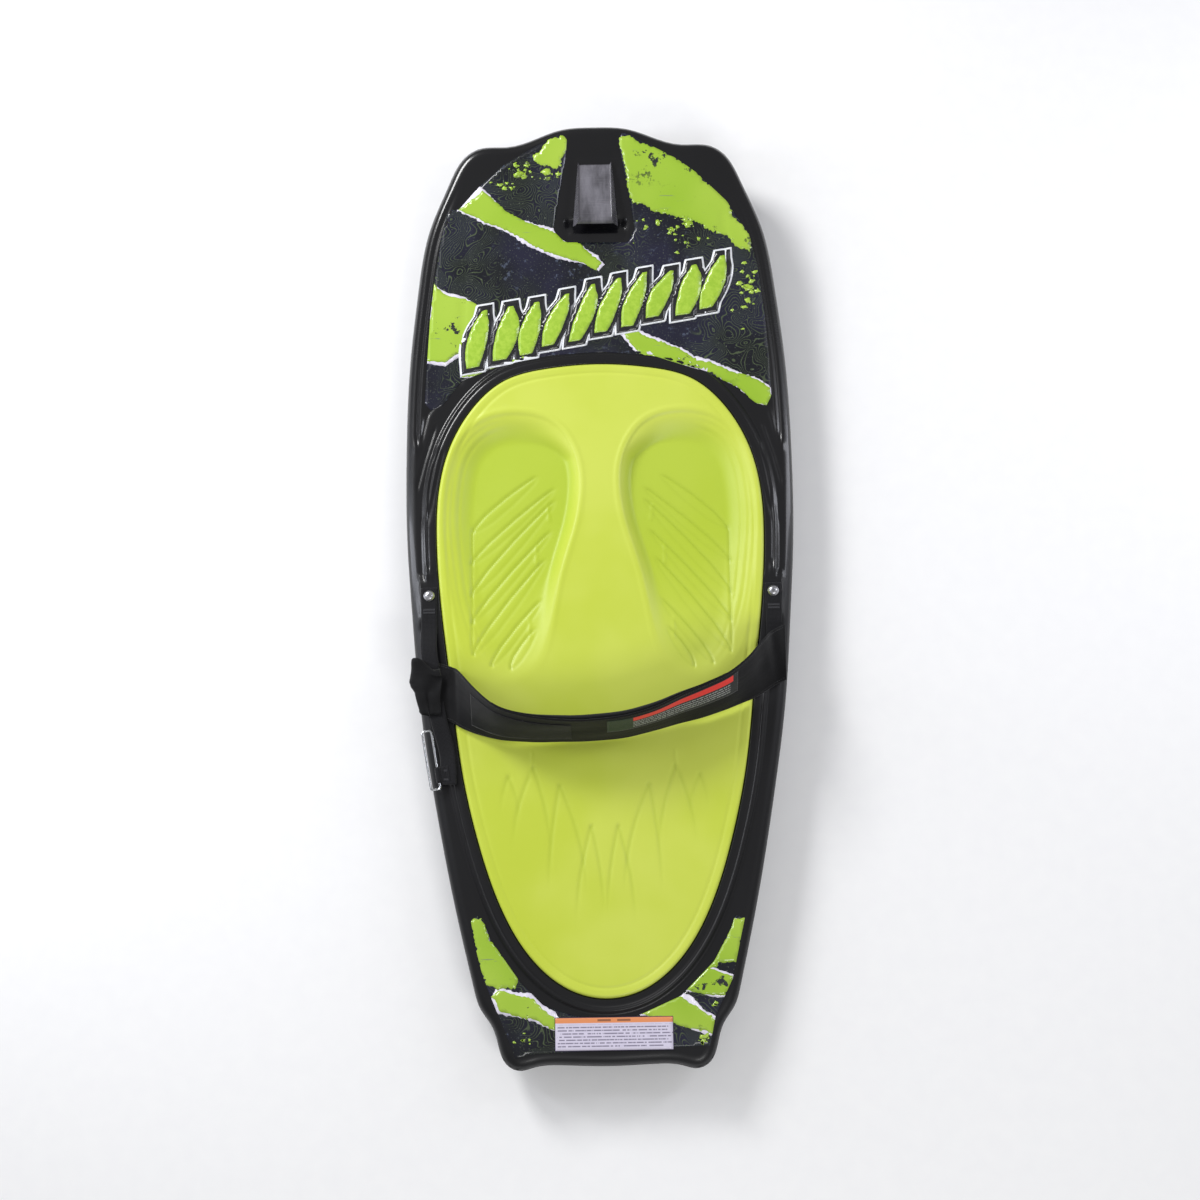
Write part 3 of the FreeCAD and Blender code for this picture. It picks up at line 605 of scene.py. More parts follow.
def ragged(line, rough, seed, fine=2.5):
    """A closed run of points cut like torn paper: redrawn finely, with uneven sideways steps."""
    rng = np.random.default_rng(seed)
    dense = evenly(line, max(8, int(run_along(line)[-1] / fine)))
    ahead = np.roll(dense, -1, 0) - np.roll(dense, 1, 0)
    sideways = np.stack([-ahead[:, 1], ahead[:, 0]], 1) / (np.linalg.norm(ahead, axis=1)[:, None] + 1e-9)
    noise = rng.normal(0, 1, len(dense))
    knots = np.arange(0, len(dense) + 7, 7)
    slow = np.interp(np.arange(len(dense)), knots, rng.normal(0, 1, len(knots)))
    return dense + sideways * (rough * (0.35 * noise + 0.8 * slow))[:, None]


def build_film(name, layers, finishes):
    """One piece from several layers: (outline, lift, finish number)."""
    points, faces, indices = [], [], []
    start = 0
    for edge, lift, number in layers:
        block, block_faces = film_layer(edge, lift)
        points.append(block)
        faces += [[start + v for v in face] for face in block_faces]
        indices += [number] * len(block_faces)
        start += len(block)
    return as_piece(name, np.vstack(points), faces, finishes, indices=indices)


def pulled_in(shape, edge):
    """Points outside a film's outline moved to its nearest edge."""
    moved = shape.copy()
    out = ~inside(shape, edge)
    nxt = np.roll(edge, -1, 0)
    for k in np.flatnonzero(out):
        run = nxt - edge
        t = np.clip(((shape[k] - edge) * run).sum(1) / (run * run).sum(1), 0, 1)
        near = edge + t[:, None] * run
        pick = np.argmin(((near - shape[k]) ** 2).sum(1))
        moved[k] = near[pick]
    keep = np.ones(len(moved), bool)
    for k in range(len(moved)):
        if np.linalg.norm(moved[k] - moved[k - 1]) < 0.3:
            keep[k] = False
    return moved[keep]


# ---------------------------------------------------------------- knee strap

def band_frame(at):
    """Places along the band: lower edge point, direction across, outward normal; the band runs 0 to 13."""
    stations = np.array(band_stations)
    settle = np.minimum(1.0, stations[:, 2] / 45.0)
    low = np.column_stack([stations[:, 0] * anchor_x, anchor_y - stations[:, 1],
                           band_low + settle * band_settle])
    lean = np.radians(stations[:, 2])
    high = low + strap_width * np.column_stack([0 * lean, np.cos(lean), np.sin(lean)])
    knots = np.arange(float(len(stations)))
    point, top = cubic(knots, low, at), cubic(knots, high, at)
    ahead = cubic(knots, low, np.asarray(at) + 0.01) - cubic(knots, low, np.asarray(at) - 0.01)
    across = (top - point) / np.linalg.norm(top - point, axis=1)[:, None]
    normal = np.cross(ahead, across)
    return point, across, normal / np.linalg.norm(normal, axis=1)[:, None]


def creases(at, share):
    """How far the cloth stands off its smooth form, in mm."""
    ends = bell((at - 1.2) / 1.6) * 2.6 + bell((at - 12.2) / 1.0) * 2.0
    along, across = at * station_run, share * strap_width
    middle = 0.7 * ripple(along, across, 120.0, 4) + 0.45 * ripple(along, across, 52.0, 9)
    folds = ends * np.sin(at * 6.3 + share * 4.2 + 0.6) * (0.5 + 0.5 * share)
    belly = 1.2 * np.sin(np.pi * np.clip(share, 0, 1))
    return middle + folds * 0.6 + belly


def pinched(points):
    """The strap's left end, drawn in at its back corner where the cloth is gathered."""
    x, y = points[..., 0], points[..., 1]
    draw = np.interp(y, (-196.0, -180.0, -165.0, -150.0, -128.0, -104.0), (11.0, 8.0, 4.5, 1.0, -1.5, 1.5))
    return np.concatenate([(x + draw * smooth((-228.0 - x) / 20.0))[..., None], points[..., 1:]], -1)


def sheet_ring(cells):
    """Share of the width, and 1 on the outer face or -1 on the inner, at each point round a sheet."""
    return [(k / cells, 1) for k in range(cells + 1)] + [(k / cells, -1) for k in range(cells, -1, -1)]


def sheet_piece(name, rows, lays, cells, finish):
    """Closed sheet from rows of points along it, one for each point round it; lays are places on cloth."""
    columns = len(rows)
    points = np.stack(rows, 1).reshape(-1, 3)
    faces = lattice(len(rows[0]), columns).tolist()
    for start in (0, len(points) - columns):
        turned = 1 if start else -1
        for k in range(cells):
            behind = start + columns - 1 - k
            faces.append([start + k, start + k + 1, behind - 1, behind][::turned])
    return as_piece(name, points, outward(points, faces), finish, maps=np.stack(lays, 1).reshape(-1, 2) * MM)


def on_band(name, span, shares, inner, outer, finish, steps=220, cells=30, crown=0.0, edge=1.0, taper=0.0):
    """Closed sheet that follows the band, its edges rounded; over the run taper its ends thin out."""
    at = np.linspace(span[0], span[1], steps)
    point, across, normal = band_frame(at)
    ends = np.minimum(at - span[0], span[1] - at) * station_run
    close = edge * (1 - np.sqrt(np.clip(1 - (1 - np.clip(ends / edge, 0, 1)) ** 2, 0, 1)))
    back = inner if not taper else outer - (outer - inner) * (0.12 + 0.88 * smooth(ends / taper))
    rows, lays = [], []
    for share, face in sheet_ring(cells):
        wide = shares[0] + (shares[1] - shares[0]) * share
        near = min(share, 1 - share) * (shares[1] - shares[0]) * strap_width
        tuck = edge * (1 - math.sqrt(max(0.0, 1 - (1 - min(near / edge, 1.0)) ** 2)))
        tuck = np.minimum(tuck + close, (outer - back) / 2 - 0.05)
        swell = crown * math.sin(math.pi * share) ** 0.6 * np.clip(ends / 25.0, 0, 1) ** 0.5
        lift = outer - tuck if face > 0 else back + tuck - swell
        out = normal * (lift + creases(at, wide))[:, None]
        rows.append(pinched(point + across * (wide * strap_width) + out))
        lays.append(np.column_stack([at * station_run, np.full(steps, wide * strap_width)]))
    return sheet_piece(name, rows, lays, cells, finish)


def tape_along(name, path, wide, thick, finish, across=None, cells=10, steps=None, turn=None):
    """Closed flat tape along a smooth path; across gives its width direction, turn its twist in degrees."""
    path = np.asarray(path, float)
    knots = run_along(path)
    steps = steps or max(8, int(knots[-1] / 2.0))
    at = np.linspace(0, knots[-1], steps)
    spot = cubic(knots, path, at)
    ahead = np.gradient(spot, axis=0)
    ahead /= np.linalg.norm(ahead, axis=1)[:, None]
    side = np.cross((0, 0, 1.0), ahead) if across is None else np.tile(np.asarray(across, float), (steps, 1))
    side = side - ahead * (side * ahead).sum(1)[:, None]
    side /= np.linalg.norm(side, axis=1)[:, None]
    if turn is not None:
        angle = np.radians(np.interp(at / knots[-1], *turn))[:, None]
        side = side * np.cos(angle) + np.cross(ahead, side) * np.sin(angle)
    normal = np.cross(ahead, side)
    rows, lays = [], []
    for share, face in sheet_ring(cells):
        near = min(share, 1 - share) * wide
        thin = math.sqrt(max(0.04, 1 - (1 - min(near / (thick * 0.5), 1.0)) ** 2))
        rows.append(spot + side * ((share - 0.5) * wide) + normal * (face * thick * 0.5 * thin))
        lays.append(np.column_stack([at, np.full(steps, share * wide)]))
    return sheet_piece(name, rows, lays, cells, finish)


def ring_sleeve(finish):
    """The webbing's end, taken round the wire ring and sewn back on itself."""
    turn = math.radians(9.0)
    hoop = np.array([-math.sin(turn), math.cos(turn), 0.0])
    outwards = np.array([math.cos(turn), math.sin(turn), 0.0])
    upwards = np.array([0, 0, 1.0])
    centre, reach, tail = np.array([-222.14, -260.0, 75.3]), 2.9, 15.0
    path = [centre + reach * (outwards * math.cos(a) + upwards * math.sin(a))
            for a in np.linspace(0.5, math.tau - 0.5, 15)]
    path = [centre + outwards * tail + (0, 0, 1.6)] + path + [centre + outwards * tail + (0, 0, -0.9)]
    return tape_along("ring_sleeve", path, 21.0, 1.6, finish, across=hoop, steps=60)


def folded_flap(finish):
    """The strap's left end rolled over onto the band: slack, raised at its front, drawn in at its back."""
    middle = -141
    profile = ((-243.0, 77.6), (-250.0, 77.4), (-255.0, 79.6), (-256.5, 83.6), (-254.0, 87.6),
               (-248.0, 89.4), (-239.0, 88.4), (-228.0, 86.6), (-217.6, 85.6))
    made = tape_along("strap_flap", [(x, middle, z) for x, z in profile], strap_width, 2.4, finish,
                      across=(0, 1, 0), cells=44, steps=110)
    places = np.array([v.co for v in made.data.vertices]) / MM
    x, y, z = places.T
    stand = np.clip((z - 80.0) / 6.0, 0, 1)
    free = smooth((x + 258.0) / 12.0) * stand
    ahead = smooth((y + 132) / 26)
    z += stand * (1.3 * ripple(x, y, 40.0, 21) + 4.2 * ahead)
    z -= free * 2.6 * smooth((-138 - y) / 14) * (1 - 0.8 * smooth((x + 236) / 10))
    x += stand * 1.4 * ripple(y, z, 40.0, 8)
    drawn = np.interp(y, (-180, -164, -149, -141, -134, -106, -102), (13, 9, 5, -1, -3.5, 1.5, 3))
    x += drawn * smooth((-232 - x) / 16)
    y -= 17.0 * stand * ahead * smooth((x + 250) / 26.0)
    made.data.vertices.foreach_set("co", (places * MM).astype(np.float32).ravel())
    return made


# ---------------------------------------------------------------- stitches, laid by geometry nodes

def stitch_tree(thread):
    """Nodes that lay a short rounded stitch at even spacing along a run of edges."""
    tree = bpy.data.node_groups.new("stitch_row", "GeometryNodeTree")
    for title, kind, way in (("Seam", "Geometry", "INPUT"), ("Pitch", "Float", "INPUT"),
                             ("Stitch length", "Float", "INPUT"), ("Thread", "Float", "INPUT"),
                             ("Seed", "Int", "INPUT"), ("Stitches", "Geometry", "OUTPUT")):
        tree.interface.new_socket(title, in_out=way, socket_type="NodeSocket" + kind)
    make = tree.nodes.new
    link = tree.links.new
    entry, leave = make("NodeGroupInput"), make("NodeGroupOutput")
    curve, points = make("GeometryNodeMeshToCurve"), make("GeometryNodeCurveToPoints")
    points.mode = "LENGTH"
    ball = make("GeometryNodeMeshUVSphere")
    ball.inputs["Segments"].default_value = 6
    ball.inputs["Rings"].default_value = 5
    ball.inputs["Radius"].default_value = 0.5
    size, spread = make("ShaderNodeCombineXYZ"), make("FunctionNodeRandomValue")
    spread.data_type = "FLOAT"
    spread.inputs["Min"].default_value = 0.85
    spread.inputs["Max"].default_value = 1.1
    long = make("ShaderNodeMath")
    long.operation = "MULTIPLY"
    place, whole = make("GeometryNodeInstanceOnPoints"), make("GeometryNodeRealizeInstances")
    colour = make("GeometryNodeSetMaterial")
    colour.inputs["Material"].default_value = thread
    link(entry.outputs["Seam"], curve.inputs["Mesh"])
    link(curve.outputs[0], points.inputs["Curve"])
    link(entry.outputs["Pitch"], points.inputs["Length"])
    link(entry.outputs["Seed"], spread.inputs["Seed"])
    link(entry.outputs["Stitch length"], long.inputs[0])
    link(spread.outputs[1], long.inputs[1])
    link(entry.outputs["Thread"], size.inputs["X"])
    link(entry.outputs["Thread"], size.inputs["Y"])
    link(long.outputs[0], size.inputs["Z"])
    link(points.outputs["Points"], place.inputs["Points"])
    link(points.outputs["Rotation"], place.inputs["Rotation"])
    link(ball.outputs["Mesh"], place.inputs["Instance"])
    link(size.outputs[0], place.inputs["Scale"])
    link(place.outputs[0], whole.inputs[0])
    link(whole.outputs[0], colour.inputs["Geometry"])
    link(colour.outputs[0], leave.inputs[0])
    return tree


def stitches(name, seams, tree, pitch=3.4, length=2.5, thread=0.55, seed=3):
    """One mesh of stitches along several seams, in mm."""
    points, edges = [], []
    for seam in seams:
        start = len(points)
        points += [tuple(p) for p in np.asarray(seam) * MM]
        edges += [(start + k, start + k + 1) for k in range(len(seam) - 1)]
    mesh = bpy.data.meshes.new(name + "_seam")
    mesh.from_pydata(points, edges, [])
    carrier = bpy.data.objects.new(name + "_seam", mesh)
    bpy.context.scene.collection.objects.link(carrier)
    modifier = carrier.modifiers.new("row", "NODES")
    modifier.node_group = tree
    values = {"Pitch": pitch * MM, "Stitch length": length * MM, "Thread": thread * MM, "Seed": seed}
    for item in tree.interface.items_tree:
        if item.in_out == "INPUT" and item.name in values:
            modifier[item.identifier] = values[item.name]
    graph = bpy.context.evaluated_depsgraph_get()
    made = bpy.data.meshes.new_from_object(carrier.evaluated_get(graph))
    bpy.data.objects.remove(carrier)
    made.name = name
    made.polygons.foreach_set("use_smooth", np.ones(len(made.polygons), bool))
    row = bpy.data.objects.new(name, made)
    bpy.context.scene.collection.objects.link(row)
    return row


def band_seam(span, share, lift, steps=160):
    """A line of sewing along the band."""
    at = np.linspace(span[0], span[1], steps)
    point, across, normal = band_frame(at)
    return pinched(point + across * (share * strap_width) + normal * (lift + creases(at, share))[:, None])


def cross_seam(at, shares, lift, steps=20):
    """A line of sewing across the band."""
    at, shares = np.full(steps, at), np.linspace(shares[0], shares[1], steps)
    point, across, normal = band_frame(at)
    return point + across * (shares * strap_width)[:, None] + normal * (lift + creases(at, shares))[:, None]


# ---------------------------------------------------------------- shader building

class Amount:
    """A shader socket that Python arithmetic works on; every step adds its Math node."""

    def __init__(self, finish, socket):
        self.finish = finish
        self.socket = socket

    def step(self, operation, first, second=None):
        given = {k: v for k, v in enumerate((first, second)) if v is not None}
        return self.finish.add("ShaderNodeMath", {"operation": operation}, given)

    def __add__(self, other):
        return self.step("ADD", self, other)

    def __radd__(self, other):
        return self.step("ADD", other, self)

    def __sub__(self, other):
        return self.step("SUBTRACT", self, other)

    def __rsub__(self, other):
        return self.step("SUBTRACT", other, self)

    def __mul__(self, other):
        return self.step("MULTIPLY", self, other)

    def __rmul__(self, other):
        return self.step("MULTIPLY", other, self)

    def __truediv__(self, other):
        return self.step("DIVIDE", self, other)

    def sine(self):
        return self.step("SINE", self)

    def size(self):
        return self.step("ABSOLUTE", self)

    def fraction(self):
        return self.step("FRACT", self)

    def floor(self):
        return self.step("FLOOR", self)

    def ramp(self, low, high, out_low=0.0, out_high=1.0):
        sockets = {"Value": self, "From Min": low, "From Max": high,
                   "To Min": out_low, "To Max": out_high}
        return self.finish.add("ShaderNodeMapRange", {"interpolation_type": "SMOOTHSTEP"}, sockets)


class Finish:
    """One material, made node by node on its Principled shader."""

    def __init__(self, name, **constant):
        self.material = bpy.data.materials.new(name)
        self.material.use_nodes = True
        self.tree = self.material.node_tree
        self.shader = self.tree.nodes["Principled BSDF"]
        for key, value in constant.items():
            self.shader.inputs[key.replace("_", " ")].default_value = value

    def put(self, socket, value):
        if isinstance(value, Amount):
            self.tree.links.new(value.socket, socket)
        elif isinstance(value, bpy.types.NodeSocket):
            self.tree.links.new(value, socket)
        else:
            socket.default_value = value

    def add(self, kind, settings=None, sockets=None, output=0):
        node = self.tree.nodes.new(kind)
        for key, value in (settings or {}).items():
            setattr(node, key, value)
        for key, value in (sockets or {}).items():
            self.put(node.inputs[key], value)
        return Amount(self, node.outputs[output])

    def place(self):
        return self.add("ShaderNodeTexCoord", output=3)

    def lay(self):
        return self.add("ShaderNodeUVMap", {"uv_map": "lay"})

    def mark(self, name):
        return self.add("ShaderNodeAttribute", {"attribute_name": name}, output=2)

    def axes(self, vector):
        node = self.tree.nodes.new("ShaderNodeSeparateXYZ")
        self.put(node.inputs[0], vector)
        return [Amount(self, socket) for socket in node.outputs]

    def joined(self, x, y, z=0.0):
        return self.add("ShaderNodeCombineXYZ", None, {0: x, 1: y, 2: z})

    def stretched(self, vector, scale, turn=0.0):
        sockets = {"Vector": vector, "Scale": scale, "Rotation": (0, 0, turn)}
        return self.add("ShaderNodeMapping", None, sockets)

    def noise(self, vector, scale, detail=2.0, rough=0.5, warp=0.0):
        sockets = {"Vector": vector, "Scale": scale, "Detail": detail, "Roughness": rough,
                   "Distortion": warp}
        return self.add("ShaderNodeTexNoise", None, sockets)

    def cells(self, vector, scale, feature="F1"):
        return self.add("ShaderNodeTexVoronoi", {"feature": feature}, {"Vector": vector, "Scale": scale})

    def blend(self, share, first, second):
        node = self.tree.nodes.new("ShaderNodeMix")
        node.data_type = "RGBA"
        self.put(node.inputs[0], share)
        self.put(node.inputs[6], first)
        self.put(node.inputs[7], second)
        return Amount(self, node.outputs[2])

    def bump(self, height, strength=0.4, depth=0.0004, below=None):
        sockets = {"Height": height, "Strength": strength, "Distance": depth}
        if below is not None:
            sockets["Normal"] = below
        return self.add("ShaderNodeBump", None, sockets)

    def finish(self, colour=None, rough=None, normal=None, coat=None, metal=None):
        for key, value in (("Base Color", colour), ("Roughness", rough), ("Normal", normal),
                           ("Coat Weight", coat), ("Metallic", metal)):
            if value is not None:
                self.put(self.shader.inputs[key], value)
        return self.material


def rgb(red, green, blue):
    """A finish colour given as it is read off a screen, 0 to 255."""
    shares = [c / 255 for c in (red, green, blue)]
    return tuple(c / 12.92 if c < 11 / 255 else ((c + 0.055) / 1.055) ** 2.4 for c in shares) + (1.0,)


# ---------------------------------------------------------------- finishes

def moulded_plastic(name, pale=0.0):
    """Black moulded skin; pale is how strongly the parts that stand highest at the nose get a painted pale
    grey reflection of a bright sky, mottled in clouds.
    """
    f = Finish(name, IOR=1.5, Coat_Roughness=0.1, Specular_IOR_Level=0.32)
    place = f.place()
    _, y, z = f.axes(place)
    mottled = f.noise(place, 9.0, 3.0)
    peel = f.noise(place, 420.0, 2.0)
    scuffs = f.noise(f.stretched(place, (260.0, 14.0, 60.0), 0.4), 1.0, 4.0, 0.7)
    hair = f.noise(f.stretched(place, (30.0, 700.0, 80.0), -0.5), 1.0, 2.0)
    worn = scuffs.ramp(0.66, 0.78) * mottled.ramp(0.42, 0.7)
    toward_nose = y.ramp(-0.35, 0.45)
    colour = f.blend(mottled * 0.6, rgb(11, 11, 13), rgb(21, 21, 25))
    colour = f.blend(worn * 0.3, colour, rgb(54, 54, 60))
    if pale:
        # painted reflection: the highest parts at the nose are lightened to grey as if they mirrored a
        # bright sky
        clouds = f.noise(f.stretched(place, (60.0, 22.0, 40.0)), 1.0, 4.0, 0.6)
        painted_sky_reflection = z.ramp(0.0915, 0.0965) * clouds.ramp(0.25, 0.7, 0.35, 1.0) * pale
        colour = f.blend(painted_sky_reflection, colour, rgb(128, 126, 134))
    rough = 0.38 - 0.16 * toward_nose + 0.08 * mottled + 0.16 * worn + 0.05 * hair.ramp(0.6, 0.75)
    height = peel * 0.5 + 0.15 * scuffs
    return f.finish(colour, rough, f.bump(height, 0.18, 0.0003), coat=0.1 + 0.4 * toward_nose)


def pad_foam():
    """Moulded foam: fine closed cells, with painted shade that darkens the knee wells and the grooves by how
    deep they lie.
    """
    f = Finish("pad_foam", Sheen_Weight=0.05, Sheen_Roughness=0.5, IOR=1.47, Specular_IOR_Level=0.5)
    place = f.place()
    cloud = f.noise(place, 5.0, 3.0, 0.55)
    fine = f.noise(place, 950.0, 3.0, 0.6)
    pores = f.cells(place, 620.0)
    crease = f.mark("crease")
    dust = f.noise(place, 60.0, 5.0, 0.65)
    colour = f.blend(cloud.ramp(0.3, 0.7), rgb(188, 203, 60), rgb(199, 211, 84))
    colour = f.blend(dust.ramp(0.62, 0.8) * 0.2, colour, rgb(196, 209, 96))
    # painted shade: the knee wells are darkened towards a deeper green by how far down each point lies
    colour = f.blend(f.mark("well") * 0.6, colour, rgb(160, 186, 34))
    # painted shade: the moulded grooves are darkened along the crease mark
    colour = f.blend(crease * 0.4, colour, rgb(150, 170, 34))
    rough = 0.36 + 0.1 * fine + 0.08 * dust - 0.05 * cloud
    height = fine * 0.5 + (1 - pores) * 0.4
    return f.finish(colour, rough, f.bump(height, 0.14, 0.00025))


def film_dark():
    """The films' dark ground: contour lines, splashes and specks over a blue black."""
    f = Finish("film_dark", IOR=1.5, Coat_Roughness=0.08, Coat_Weight=0.5, Specular_IOR_Level=0.3)
    place = f.place()
    x, y, _ = f.axes(place)
    flat = f.joined(x, y)
    hills = f.noise(flat, 26.0, 0.6, 0.4, 0.4)
    contour = ((hills * 30.0).fraction() - 0.5).size().ramp(0.14, 0.04)
    patches = f.noise(flat, 7.0, 1.0).ramp(0.42, 0.56)
    speck = f.noise(flat, 420.0, 3.0, 0.7).ramp(0.62, 0.68)
    splash = f.noise(flat, 60.0, 6.0, 0.75).ramp(0.58, 0.63)
    violet = f.noise(flat, 12.0, 2.0)
    colour = f.blend(violet.ramp(0.35, 0.65), rgb(14, 16, 24), rgb(28, 28, 48))
    colour = f.blend(contour * patches * 0.9, colour, rgb(74, 86, 60))
    colour = f.blend(splash * (1 - patches) * 0.85, colour, rgb(74, 82, 100))
    colour = f.blend(speck * 0.75, colour, rgb(122, 132, 112))
    rough = 0.24 + 0.1 * violet + 0.12 * speck
    return f.finish(colour, rough, f.bump(f.noise(place, 300.0, 2.0), 0.08, 0.0002))


def film_lime():
    """The films' lime print, with dark blots and dry brush streaks."""
    f = Finish("film_lime", IOR=1.5, Coat_Roughness=0.08, Coat_Weight=0.5)
    place = f.place()
    x, y, _ = f.axes(place)
    flat = f.joined(x, y)
    blot = f.noise(flat, 34.0, 6.0, 0.72)
    area = f.noise(flat, 9.0, 1.0).ramp(0.45, 0.6)
    streak = f.noise(f.stretched(flat, (18.0, 190.0, 1.0), -0.25), 1.0, 5.0, 0.7)
    speck = f.noise(flat, 300.0, 4.0, 0.75)
    ink = blot.ramp(0.585, 0.6) * area
    colour = f.blend(f.noise(flat, 6.0, 2.0).ramp(0.3, 0.7), rgb(146, 182, 42), rgb(166, 196, 66))
    colour = f.blend(streak.ramp(0.64, 0.68) * 0.8, colour, rgb(120, 132, 104))
    colour = f.blend(ink, colour, rgb(24, 27, 32))
    colour = f.blend(speck.ramp(0.68, 0.71) * 0.8, colour, rgb(30, 34, 34))
    rough = 0.26 + 0.12 * ink + 0.06 * blot
    return f.finish(colour, rough, f.bump(f.noise(place, 300.0, 2.0), 0.08, 0.0002))


def film_plain(name, low, high):
    """One printed colour, slightly uneven as ink is."""
    f = Finish(name, IOR=1.5, Coat_Roughness=0.08, Coat_Weight=0.5)
    place = f.place()
    fibre = f.noise(place, 140.0, 5.0, 0.7)
    wide = f.noise(place, 22.0, 2.0)
    colour = f.blend(fibre.ramp(0.35, 0.65), low, high)
    return f.finish(colour, 0.26 + 0.14 * fibre + 0.05 * wide, f.bump(fibre, 0.12, 0.0002))


def woven(name, dark, light, pitch, sheen=0.35, rough=0.78, twill=0.0, fuzz=0.25):
    """Cloth whose lengthwise and crosswise yarns pass over each other, laid as the piece's own cloth is."""
    f = Finish(name, Sheen_Weight=sheen, Sheen_Roughness=0.4, IOR=1.45, Specular_IOR_Level=0.3)
    along, across, _ = f.axes(f.lay())
    place = f.place()
    u = along / pitch + f.noise(place, 90.0, 2.0) * 0.3
    v = across / pitch
    warp = ((u * math.pi).sine()).size()
    weft = ((v * math.pi).sine()).size()
    check = (((u + twill * v) * math.pi).sine() * ((v - twill * u) * math.pi).sine()).ramp(-0.2, 0.2)
    yarn = warp * check + weft * (1 - check)
    lint = f.noise(place, 900.0, 4.0, 0.7)
    broad = f.noise(place, 18.0, 3.0)
    colour = f.blend(yarn.ramp(0.2, 0.95), dark, light)
    colour = f.blend(broad.ramp(0.45, 0.75) * 0.4, colour, light)
    colour = f.blend(lint.ramp(0.66, 0.76) * fuzz, colour, rgb(92, 92, 96))
    return f.finish(colour, rough + 0.12 * lint - 0.1 * yarn, f.bump(yarn + 0.35 * lint, 0.55, pitch * 0.35))


def tape_pile(name, dark, light):
    """Hook or loop pile: a dense mat of curled fibres."""
    f = Finish(name, Sheen_Weight=0.25, Sheen_Roughness=0.35, IOR=1.45, Specular_IOR_Level=0.25)
    place = f.place()
    mat = f.cells(place, 1300.0)
    curl = f.noise(place, 1900.0, 4.0, 0.7, 1.0)
    broad = f.noise(place, 70.0, 3.0)
    colour = f.blend(curl.ramp(0.4, 0.65) * 0.8, dark, light)
    colour = f.blend(broad.ramp(0.55, 0.7) * 0.4, colour, light)
    return f.finish(colour, 0.86 - 0.1 * curl, f.bump(mat + curl, 0.6, 0.0005))


def strap_face():
    """Laminate face of the knee strap: fine plain weave with a ribbed border along both long edges."""
    f = Finish("strap_face", Sheen_Weight=0.12, Sheen_Roughness=0.45, IOR=1.45, Specular_IOR_Level=0.22)
    along, across, _ = f.axes(f.lay())
    place = f.place()
    u, v = along / 0.0011, across / 0.0011
    knit = ((u * math.pi).sine() * (v * math.pi).sine()) * 0.5 + 0.5
    edge = (across - 0.038).size().ramp(0.031, 0.0325)
    rib = ((along / 0.0016) * math.pi).sine().size()
    lint = f.noise(place, 700.0, 4.0, 0.7)
    broad = f.noise(place, 22.0, 4.0, 0.6)
    crush = f.noise(f.stretched(f.lay(), (30.0, 140.0, 1.0), 0.5), 1.0, 4.0, 0.6)
    colour = f.blend(knit, rgb(7, 7, 8), rgb(17, 17, 19))
    colour = f.blend(broad.ramp(0.4, 0.7) * 0.4, colour, rgb(22, 22, 24))
    colour = f.blend(crush.ramp(0.6, 0.72) * 0.3, colour, rgb(34, 34, 37))
    colour = f.blend(edge * 0.6, colour, rgb(13, 13, 15))
    colour = f.blend(lint.ramp(0.68, 0.78) * 0.2, colour, rgb(70, 70, 74))
    height = knit * (1 - edge) + rib * edge * 1.6 + 0.4 * lint
    folds = f.bump(crush + 0.5 * broad, 0.35, 0.0016)
    return f.finish(colour, 0.72 + 0.14 * lint - 0.08 * crush, f.bump(height, 0.5, 0.0003, below=folds))


def woven_label():
    """Sewn label: a dark green end, a red stripe, and rows of plain grey dashes."""
    f = Finish("woven_label_cloth", Sheen_Weight=0.2, IOR=1.45, Specular_IOR_Level=0.3)
    along, across, _ = f.axes(f.lay())
    place = f.place()
    s = along - label_from * station_run * MM
    t = across - label_share * strap_width * MM
    body = s.ramp(0.019, 0.020)
    red = body * t.ramp(0.0235, 0.0242) * t.ramp(0.0345, 0.0338) * s.ramp(0.1085, 0.108)
    lines = t / 0.0044
    wobble = f.noise(f.joined(along * 900.0, lines.floor() * 7.0), 1.0, 1.0)
    row = ((lines.fraction() - 0.5).size()).ramp(0.26, 0.18)
    dashes = body * row * wobble.ramp(0.42, 0.5) * t.ramp(0.0055, 0.006) * t.ramp(0.0236, 0.023)
    dashes = dashes * s.ramp(0.106, 0.104)
    yarn = ((along / 0.00045 * math.pi).sine() * (across / 0.00045 * math.pi).sine()) * 0.5 + 0.5
    colour = f.blend(body, rgb(14, 40, 14), rgb(20, 21, 23))
    colour = f.blend(yarn * 0.25, colour, rgb(60, 64, 60))
    colour = f.blend(dashes * 0.9, colour, rgb(160, 162, 160))
    colour = f.blend(red, colour, rgb(222, 48, 42))
    lint = f.noise(place, 800.0, 4.0, 0.7)
    return f.finish(colour, 0.62 + 0.15 * lint, f.bump(yarn + 0.3 * lint, 0.35, 0.0002))


